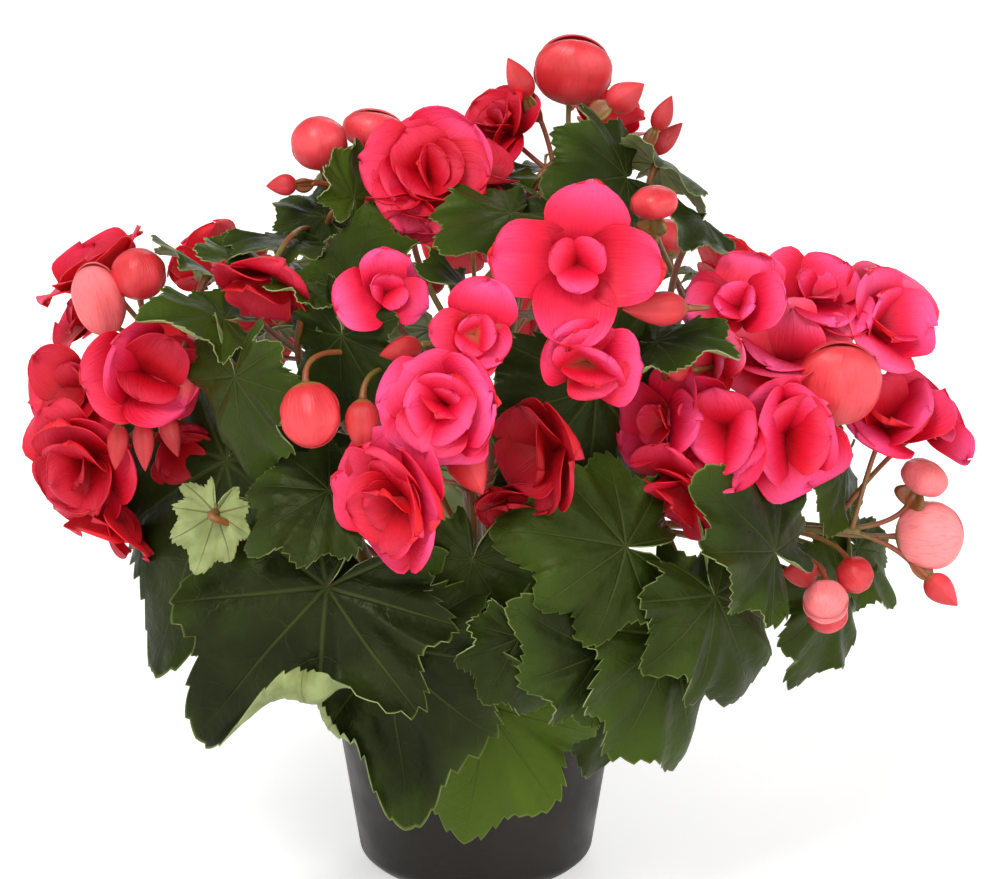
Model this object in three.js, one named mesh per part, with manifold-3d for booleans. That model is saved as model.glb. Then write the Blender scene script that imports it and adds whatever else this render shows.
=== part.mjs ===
// A potted elatior begonia: a tapered nursery pot, its soil, seven leafy stems, forked flower sprays
// and pink blooms. Millimetres, +Z up, origin at the middle of the pot's underside. The plant's front
// faces -Y.

import * as THREE from 'three';
import { mergeVertices } from 'three/addons/utils/BufferGeometryUtils.js';
import Module from 'manifold-3d';

const wasm = await Module();
wasm.setup();

// ---- Driving dimensions ----

const potHeight = 105;
const potFootRadius = 47.5;
const potTaper = 0.154; // growth of the radius for each millimetre of height
const potWall = 1.5;
const potLipHeight = 12;
const potLipStep = 3; // how far the lip stands out from the wall
const soilHeight = 95;
const clearGap = 0.35; // kept between pieces that touch on the plant
const stemRadius = 3.6;
const stemRootDepth = 30; // how far each stem goes into the soil
const bladeThickness = 0.8;
const leafStalkRadius = 1.4;
const petalThickness = 0.8;
const sprayStalkRadius = 1.6;
const flowerStalkRadius = 0.9;

const colours = {
  pot: 0x37332f,
  soil: 0x33241a,
  leaf: 0x3d4f28,
  spray: 0x97663a,
  bloom: 0xef3f6c,
};

// ---- Solids ----

const vector = (place) => new THREE.Vector3(...place);

// A closed solid from a list of points and a list of corner triples, with its faces pointing out.
function solidFromMesh(points, corners) {
  const vertProperties = new Float32Array(points.flatMap((point) => [point.x, point.y, point.z]));
  const triVerts = new Uint32Array(corners.flat());
  const solid = new wasm.Manifold(new wasm.Mesh({ numProp: 3, vertProperties, triVerts }));
  if (solid.volume() > 0) return solid;
  const turned = new Uint32Array(corners.flatMap(([first, second, third]) => [first, third, second]));
  return new wasm.Manifold(new wasm.Mesh({ numProp: 3, vertProperties, triVerts: turned }));
}

function solidFromGeometry(geometry) {
  geometry.deleteAttribute('normal');
  geometry.deleteAttribute('uv');
  const merged = mergeVertices(geometry, 1e-4);
  const position = merged.getAttribute('position');
  const points = [];
  for (let i = 0; i < position.count; i += 1) {
    points.push(new THREE.Vector3().fromBufferAttribute(position, i));
  }
  const corners = [];
  for (let i = 0; i < merged.index.count; i += 3) {
    const corner = [0, 1, 2].map((step) => merged.index.getX(i + step));
    if (new Set(corner).size === 3) corners.push(corner);
  }
  return solidFromMesh(points, corners);
}

// A surface's points moved half the thickness along their normals, to the upper side and the lower side.
function bothSides(points, faces, thickness) {
  const normals = points.map(() => new THREE.Vector3());
  for (const [first, second, third] of faces) {
    const normal = points[second].clone().sub(points[first]);
    normal.cross(points[third].clone().sub(points[first]));
    for (const corner of [first, second, third]) normals[corner].add(normal);
  }
  const shifted = (side) => points.map((point, i) => (
    point.clone().addScaledVector(normals[i].normalize(), side * thickness / 2)));
  return [...shifted(1), ...shifted(-1)];
}

// Walls between the two sides of a sheet along every open edge of its faces.
function wallCorners(faces, count) {
  const edges = new Set(faces.flatMap(([first, second, third]) => (
    [`${first},${second}`, `${second},${third}`, `${third},${first}`])));
  const corners = [];
  for (const edge of edges) {
    const [from, to] = edge.split(',').map(Number);
    if (!edges.has(`${to},${from}`)) {
      corners.push([to, from, from + count]);
      corners.push([to, from + count, to + count]);
    }
  }
  return corners;
}

// A round stalk along a smooth curve, lengthened by `extra` at both ends.
function stalk(curve, radius, sides, steps, extra = 0) {
  const points = curve.getPoints(steps);
  const start = points[0].clone().addScaledVector(curve.getTangent(0), -extra);
  const end = points[steps].clone().addScaledVector(curve.getTangent(1), extra);
  const path = new THREE.CatmullRomCurve3([start, ...points.slice(1, -1), end]);
  const section = new THREE.Shape();
  for (let i = 0; i < sides; i += 1) {
    const angle = 2 * Math.PI * i / sides;
    const method = i === 0 ? 'moveTo' : 'lineTo';
    section[method](radius * Math.cos(angle), radius * Math.sin(angle));
  }
  section.closePath();
  return solidFromGeometry(new THREE.ExtrudeGeometry(section, { steps, extrudePath: path }));
}

const turned = (profile, sides) => solidFromGeometry(new THREE.LatheGeometry(
  profile.map(([radius, height]) => new THREE.Vector2(radius, height)), sides).rotateX(Math.PI / 2));

const largestBody = (solid) => (
  solid.decompose().reduce((best, body) => (body.volume() > best.volume() ? body : best)));

const boxesMeet = (first, second) => {
  const [a, b] = [first.boundingBox(), second.boundingBox()];
  return [0, 1, 2].every((axis) => a.min[axis] < b.max[axis] && b.min[axis] < a.max[axis]);
};

// What is left of a solid, in one body, once each cutter near it is taken away.
function clearOf(solid, cutters) {
  const near = cutters.filter((cutter) => (
    boxesMeet(solid, cutter) && solid.intersect(cutter).volume() > 0));
  return near.length === 0 ? solid : largestBody(solid.subtract(wasm.Manifold.union(near)));
}

// Three-sided rings of points round a route, from its end back to its start, and turned along it without
// a twist. `ahead` is across the route at its end.
const stalkTurns = [180, 300, 60]; // the corners' places round the stalk, in degrees
const stalkSides = stalkTurns.length;
function stalkRings(route, steps, ahead, radius) {
  const places = route.getSpacedPoints(steps);
  const heading = route.getTangentAt(1);
  const forward = ahead.clone();
  const rings = [];
  for (let i = steps; i >= 0; i -= 1) {
    const later = heading.clone();
    if (i < steps) heading.subVectors(places[i + 1], places[Math.max(i - 1, 0)]).normalize();
    forward.applyQuaternion(new THREE.Quaternion().setFromUnitVectors(later, heading));
    forward.addScaledVector(heading, -forward.dot(heading)).normalize();
    const aside = heading.clone().cross(forward);
    for (const turn of stalkTurns) {
      const angle = THREE.MathUtils.degToRad(turn);
      rings.push(places[i].clone()
        .addScaledVector(forward, radius * Math.cos(angle))
        .addScaledVector(aside, radius * Math.sin(angle)));
    }
  }
  return rings;
}

// Walls between rings of points that lie one after another in a list.
function ringCorners(start, ringCount, sides) {
  const corners = [];
  for (let i = 0; i < (ringCount - 1) * sides; i += 1) {
    const next = i % sides === sides - 1 ? i + 1 - sides : i + 1;
    corners.push([start + i, start + i + sides, start + next + sides]);
    corners.push([start + i, start + next + sides, start + next]);
  }
  return corners;
}

// A stalk's walls and its closed lower end.
function stalkCorners(start, steps) {
  const last = start + stalkSides * steps;
  return [...ringCorners(start, steps + 1, stalkSides), [last, last + 2, last + 1]];
}

// ---- Pot and soil ----

const potRadiusAt = (height) => potFootRadius + potTaper * height;
const potFootBevel = 4;
const potFloor = 1.8;

function makePot() {
  const sides = 20;
  const lipFoot = potHeight - potLipHeight;
  const lipRadius = potRadiusAt(lipFoot) + potLipStep;
  const lipShoulder = 2; // the inner step is this much higher than the outer one
  const profile = [
    [0, 0],
    [potFootRadius - potFootBevel, 0],
    [potRadiusAt(potFootBevel), potFootBevel],
    [potRadiusAt(lipFoot), lipFoot],
    [lipRadius, lipFoot],
    [lipRadius, potHeight],
    [lipRadius - potWall, potHeight],
    [lipRadius - potWall, lipFoot + lipShoulder],
    [potRadiusAt(lipFoot) - potWall, lipFoot],
    [potRadiusAt(potFootBevel) - potWall, potFootBevel + 0.5],
    [potFootRadius - potFootBevel - 0.5, potFloor],
    [0, potFloor],
  ];
  const drainCount = 8;
  const drain = { width: 9, height: 3, depth: 9 };
  const notches = Array.from({ length: drainCount }, (_, i) => {
    const notch = new THREE.BoxGeometry(drain.depth, drain.width, 2 * drain.height);
    notch.translate(potFootRadius, 0, 0);
    return solidFromGeometry(notch.rotateZ(2 * Math.PI * (i + 0.5) / drainCount));
  });
  return turned(profile, sides).subtract(wasm.Manifold.union(notches));
}

// The soil's side stands clear of the pot's wall, and its top is a low mound.
function makeSoil(holes) {
  const sides = 16;
  const shoulder = soilHeight - 5;
  const sideRadius = (height) => potRadiusAt(height) - potWall - clearGap - 0.6;
  const profile = [
    [0, potFloor + clearGap],
    [potFootRadius - 6, potFloor + clearGap],
    [sideRadius(8), 8],
    [sideRadius(shoulder), shoulder],
    [sideRadius(shoulder) - 2, soilHeight - 1],
    [30, soilHeight + 1],
    [0, soilHeight],
  ];
  return turned(profile, sides).subtract(wasm.Manifold.union(holes));
}

// ---- Leaves ----

// Each leaf: its stem, the place where its veins meet, its tip, and the bends of its blade. `droop`
// bends it along its length and `fold` across it, in radians from edge to edge. `roll` turns the blade
// about its length, in degrees, and `rise` lifts the stalk's arch.
const stems = {
  leftFront: [[-20, -10, 0], [-45, -24, 140], [-74, -44, 205]],
  leftBack: [[-20, 14, 0], [-40, 22, 160], [-58, 4, 245]],
  front: [[4, -24, 0], [2, -42, 135], [-4, -66, 200]],
  middle: [[2, 2, 0], [6, 4, 180], [20, -14, 272]],
  rightFront: [[24, -12, 0], [48, -34, 135], [76, -54, 200]],
  rightBack: [[24, 14, 0], [50, 20, 150], [84, 8, 232]],
  back: [[0, 30, 0], [-2, 52, 130], [-4, 70, 205]],
};

const leaves = {
  leftFront: [
    { at: [-52, -114, 146], tip: [-101, -106, 88], droop: 0.5, fold: 0.6, roll: -10 },
    { at: [-93, -100, 170], tip: [-104, -106, 137], droop: 0.3, fold: 0.3, roll: 30 },
    { at: [-97, -66, 178], tip: [-119, -52, 110], droop: 0.4, fold: 0.4, roll: 10 },
    { at: [-51, -112, 181], tip: [-81, -122, 164], droop: 0.4, fold: 0.4 },
    { at: [-98, 2, 192], tip: [-124, 8, 162], droop: 0.6, fold: 0.3 },
    { at: [-85, -98, 220], tip: [-81, -94, 187], droop: 0.3, fold: 0.3 },
    { at: [-90, -88, 239], tip: [-112, -96, 241], droop: 0.4, fold: 0.4 },
    { at: [-46, -104, 236], tip: [-46, -94, 206], droop: 0.4, fold: 0.4 },
  ],
  leftBack: [
    { at: [-100, 42, 168], tip: [-128, 58, 128], droop: 0.5, fold: 0.4 },
    { at: [-92, 22, 215], tip: [-124, 36, 196], droop: 0.5, fold: 0.4 },
    { at: [-78, 58, 240], tip: [-104, 82, 226], droop: 0.5, fold: 0.4 },
    { at: [-57, -94, 250], tip: [-69, -104, 253], droop: 0.3, fold: 0.3 },
    { at: [-43, -90, 252], tip: [-37, -70, 272], droop: 0.3, fold: 0.3 },
    { at: [-99, -52, 251], tip: [-115, -62, 262], droop: 0.3, fold: 0.5, roll: 30 },
    { at: [-80, -66, 257], tip: [-96, -78, 260], droop: 0.5, fold: 0.4 },
    { at: [-69, -60, 265], tip: [-80, -74, 272], droop: 0.5, fold: 0.4 },
    { at: [-56, -44, 271], tip: [-74, -28, 275], droop: 0.5, fold: 0.3 },
    { at: [-44, -62, 280], tip: [-44, -46, 298], droop: 0.2, fold: 0.2, roll: 70 },
    { at: [-42, 34, 280], tip: [-64, 50, 276], droop: 0.5, fold: 0.3 },
  ],
  front: [
    { at: [5, -92, 95], tip: [-3, -86, 40], droop: 0.3, fold: 0.2, rise: 0.7 },
    { at: [46, -110, 120], tip: [15, -126, 141], droop: 0.4, fold: 0.4 },
    { at: [-31, -108, 122], tip: [-23, -97, 61], droop: 0.5, fold: 0.5 },
    { at: [17, -116, 128], tip: [22, -109, 97], droop: 0.4, fold: 0.5 },
    { at: [0, -106, 154], tip: [-6, -98, 121], droop: 0.3, fold: 0.3 },
    { at: [55, -110, 160], tip: [10, -122, 170], droop: 0.4, fold: 0.4 },
  ],
  middle: [
    { at: [45, -84, 213], tip: [40, -73, 166], droop: 0.4, fold: 0.4 },
    { at: [-1, -86, 249], tip: [-17, -104, 261], droop: 0.3, fold: 0.3 },
    { at: [34, -68, 271], tip: [45, -48, 280], droop: 0.3, fold: 0.3 },
    { at: [14, -78, 276], tip: [-10, -99, 266], droop: 0.4, fold: 0.3 },
    { at: [30, 30, 282], tip: [42, 58, 276], droop: 0.5, fold: 0.3 },
    { at: [8, -28, 284], tip: [0, -4, 288], droop: 0.4, fold: 0.4 },
    { at: [45, -44, 292], tip: [26, -66, 299], droop: 0.6, fold: 0.4 },
  ],
  rightFront: [
    { at: [52, -82, 89], tip: [44, -74, 62], droop: 0.4, fold: 0.8, rise: 0.7 },
    { at: [72, -102, 124], tip: [81, -90, 69], droop: 0.4, fold: 0.4 },
    { at: [143, -34, 124], tip: [128, -38, 84], droop: 0.5, fold: 0.4, roll: -50 },
    { at: [153, -16, 135], tip: [167, -8, 111], droop: 0.5, fold: 0.4, roll: -50 },
    { at: [88, -104, 140], tip: [103, -92, 94], droop: 0.5, fold: 0.5 },
    { at: [110, -98, 155], tip: [82, -108, 184], droop: 0.3, fold: 0.3 },
    { at: [66, -96, 232], tip: [92, -112, 230], droop: 0.5, fold: 0.4 },
  ],
  rightBack: [
    { at: [86, 62, 160], tip: [118, 84, 120], droop: 0.5, fold: 0.4 },
    { at: [145, -30, 172], tip: [134, -46, 150], droop: 0.5, fold: 0.4 },
    { at: [104, 12, 190], tip: [144, 22, 164], droop: 0.5, fold: 0.4 },
    { at: [72, 76, 208], tip: [96, 104, 184], droop: 0.5, fold: 0.4 },
    { at: [95, 35, 238], tip: [126, 48, 226], droop: 0.5, fold: 0.4 },
    { at: [86, -48, 270], tip: [76, -70, 262], droop: 0.6, fold: 0.5 },
    { at: [70, -26, 289], tip: [82, -52, 281], droop: 0.8, fold: 0.4 },
  ],
  back: [
    { at: [-20, 96, 142], tip: [-26, 122, 92], droop: 0.5, fold: 0.4 },
    { at: [30, 96, 168], tip: [42, 128, 126], droop: 0.5, fold: 0.4 },
    { at: [-60, 86, 176], tip: [-84, 116, 138], droop: 0.5, fold: 0.4 },
    { at: [-20, 104, 204], tip: [-26, 134, 168], droop: 0.5, fold: 0.4 },
    { at: [34, 86, 248], tip: [46, 114, 232], droop: 0.5, fold: 0.4 },
    { at: [-28, 84, 252], tip: [-42, 114, 238], droop: 0.5, fold: 0.4 },
  ],
};

// Lengths here are shares of the blade's size.
const bladeForm = {
  lobeCount: 9,
  lobeDepth: 0.07,
  sinus: 160, // degrees from the tip round to either side of the notch at the leaf stalk
  tipLength: 1.07, // from the veins' meeting point to the tip
  coreReach: 0.15, // how far the core round the veins' meeting point goes to the edge
  middleReach: 0.55,
  quiltDepth: 0.02,
  waveDepth: 0.07,
  waveCount: 5,
};

// Steps round a blade's edge, by the least length from the veins' meeting point to the tip.
const edgeSteps = [
  { leastLength: 44, steps: 16 },
  { leastLength: 32, steps: 12 },
  { leastLength: 0, steps: 8 },
];

// The outline's distance from the veins' meeting point at an angle from the tip: a wide heart with a
// drawn-out tip and shallow lobes.
function outlineRadius(angle) {
  const heart = 0.66 + 0.13 * Math.cos(angle);
  const point = 0.21 * Math.exp(-((angle / 0.4) ** 2));
  return heart + point + bladeForm.lobeDepth * Math.cos(bladeForm.lobeCount * angle);
}

// Bends a flat strip position into an arc of the given curvature, its chord kept level.
function bendAlong(length, height, curvature) {
  const angle = curvature * length;
  const x = Math.sin(angle) / curvature + height * Math.sin(angle);
  const z = (Math.cos(angle) - 1) / curvature + height * Math.cos(angle);
  const level = curvature / 2;
  return [x * Math.cos(level) - z * Math.sin(level), x * Math.sin(level) + z * Math.cos(level)];
}

// The blade's own axes: along to the tip, out from the plant through the upper face, and across.
function bladeFrame(leaf) {
  const origin = vector(leaf.at);
  const along = vector(leaf.tip).sub(origin).normalize();
  const outward = new THREE.Vector3(origin.x, origin.y, (origin.z - 150) * 0.6 + 50).normalize();
  const normal = outward.addScaledVector(along, -outward.dot(along)).normalize();
  normal.applyAxisAngle(along, THREE.MathUtils.degToRad(leaf.roll ?? 0));
  const across = normal.clone().cross(along);
  return { origin, along, normal, across };
}

// The mid-surface of a blade: domed, quilted between its veins, waved at its edge and bent both ways.
function bladePoint(leaf, frame, angle, reach) {
  const chord = vector(leaf.tip).distanceTo(frame.origin);
  const chordShare = Math.sin(leaf.droop / 2) / (leaf.droop / 2);
  const size = chord / (bladeForm.tipLength * chordShare);
  const radius = reach * outlineRadius(angle);
  const length = radius * Math.cos(angle);
  const width = radius * Math.sin(angle);
  const quilting = -bladeForm.quiltDepth * radius * Math.cos(bladeForm.lobeCount * angle);
  const wave = bladeForm.waveDepth * reach ** 3 * Math.sin(bladeForm.waveCount * angle + leaf.at[0]);
  const sag = (Math.cos(leaf.fold * width) - 1) / leaf.fold;
  const [x, z] = bendAlong(length, quilting + wave + sag, leaf.droop);
  const y = Math.sin(leaf.fold * width) / leaf.fold;
  return frame.origin.clone()
    .addScaledVector(frame.along, size * x)
    .addScaledVector(frame.across, size * y)
    .addScaledVector(frame.normal, size * z);
}

// Faces between two rows of points along the same turn, where each step of the inner row spans `ratio`
// steps of the outer row.
function bandFaces(innerStart, innerSteps, outerStart, ratio) {
  const faces = [];
  for (let i = 0; i < innerSteps; i += 1) {
    const inner = innerStart + i;
    const outer = outerStart + ratio * i;
    const half = Math.floor(ratio / 2);
    for (let j = 0; j < half; j += 1) faces.push([inner, outer + j, outer + j + 1]);
    faces.push([inner, outer + half, inner + 1]);
    for (let j = half; j < ratio; j += 1) faces.push([inner + 1, outer + j, outer + j + 1]);
  }
  return faces;
}

const stemCurve = (name) => {
  const [root, bend, top] = stems[name].map(vector);
  root.z = soilHeight - stemRootDepth;
  return new THREE.QuadraticBezierCurve3(root, bend, top);
};

// The place on a stem at a height, or its top where the stem ends lower.
function placeOnStem(name, height) {
  const points = stemCurve(name).getPoints(40);
  return points.find((point) => point.z >= height) ?? points[points.length - 2];
}

// A blade's mid-surface: a small core round the veins' meeting point, a row half way out on a large
// blade, and the lobed edge.
function bladeSurface(leaf, frame, extra) {
  const length = vector(leaf.tip).distanceTo(frame.origin);
  const { steps } = edgeSteps.find((entry) => length >= entry.leastLength);
  const rows = [{ steps: coreSteps, reach: bladeForm.coreReach }];
  if (steps === edgeSteps[0].steps) rows.push({ steps: steps / 2, reach: bladeForm.middleReach });
  rows.push({ steps, reach: 1 + extra / length });
  const points = [frame.origin.clone()];
  const faces = [];
  let previous = { start: 0, steps: 0 };
  for (const row of rows) {
    const start = points.length;
    for (let i = 0; i <= row.steps; i += 1) {
      const angle = THREE.MathUtils.degToRad(bladeForm.sinus * (2 * i / row.steps - 1));
      points.push(bladePoint(leaf, frame, angle, row.reach));
    }
    if (previous.steps === 0) {
      for (let i = 0; i < row.steps; i += 1) faces.push([0, start + i, start + i + 1]);
    } else {
      faces.push(...bandFaces(previous.start, previous.steps, start, row.steps / previous.steps));
    }
    previous = { start, steps: row.steps };
  }
  return { points, faces };
}

const coreSteps = 4;
const leafStalkSteps = 2;
const stalkFlare = 2.4; // the drop over which the stalk widens into the blade
const lowestStalk = soilHeight + 14;

// The route of a leaf's stalk, which arches from the stem to the blade's underside. A stem's leaves are
// listed from the lowest up, and their stalks leave it at even steps.
function leafStalkRoute(stemName, leaf, frame) {
  const ahead = bladePoint(leaf, frame, 0, bladeForm.coreReach).sub(frame.origin);
  const aside = bladePoint(leaf, frame, Math.PI / 2, bladeForm.coreReach).sub(frame.origin);
  const normal = ahead.cross(aside).normalize();
  const list = leaves[stemName];
  const highestStalk = stems[stemName][2][2] - 4;
  const share = list.indexOf(leaf) / (list.length - 1);
  const height = lowestStalk + (highestStalk - lowestStalk) * share;
  const start = placeOnStem(stemName, height);
  const end = frame.origin.clone().addScaledVector(normal, -stalkFlare);
  const length = start.distanceTo(end);
  const slant = end.clone().sub(start).setZ(0).normalize().setZ(1).normalize();
  const rise = start.clone().addScaledVector(slant, (leaf.rise ?? 0.3) * length);
  const under = end.clone().addScaledVector(normal, -0.3 * length);
  return new THREE.CubicBezierCurve3(start, rise, under, end);
}

// A leaf in one body: the blade's core opens on its under side into a three-sided stalk.
function makeLeaf(stemName, leaf, extra = 0) {
  const frame = bladeFrame(leaf);
  const { points: middles, faces } = bladeSurface(leaf, frame, extra);
  const count = middles.length;
  const points = bothSides(middles, faces, bladeThickness + 2 * extra);
  const isCore = (face) => face[0] === 0;
  const under = faces.filter((face) => !isCore(face));
  const corners = [
    ...faces,
    ...under.map(([first, second, third]) => [first + count, third + count, second + count]),
    ...wallCorners(faces, count),
  ];
  const firstRing = points.length;
  const route = leafStalkRoute(stemName, leaf, frame);
  points.push(...stalkRings(route, leafStalkSteps, frame.along, leafStalkRadius + 2 * extra));
  corners.push(...stalkCorners(firstRing, leafStalkSteps));
  // The opening's rim is the veins' meeting point and the core's row. Each of its points is joined to a
  // corner of the stalk's first ring.
  const ringCornerOf = [0, 1, 1, 2, 2, 2];
  for (let i = 0; i < ringCornerOf.length; i += 1) {
    const next = (i + 1) % ringCornerOf.length;
    const [corner, nextCorner] = [firstRing + ringCornerOf[i], firstRing + ringCornerOf[next]];
    corners.push([count + i, corner, count + next]);
    if (corner !== nextCorner) corners.push([corner, nextCorner, count + next]);
  }
  return solidFromMesh(points, corners);
}

// ---- Flower sprays ----

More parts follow.
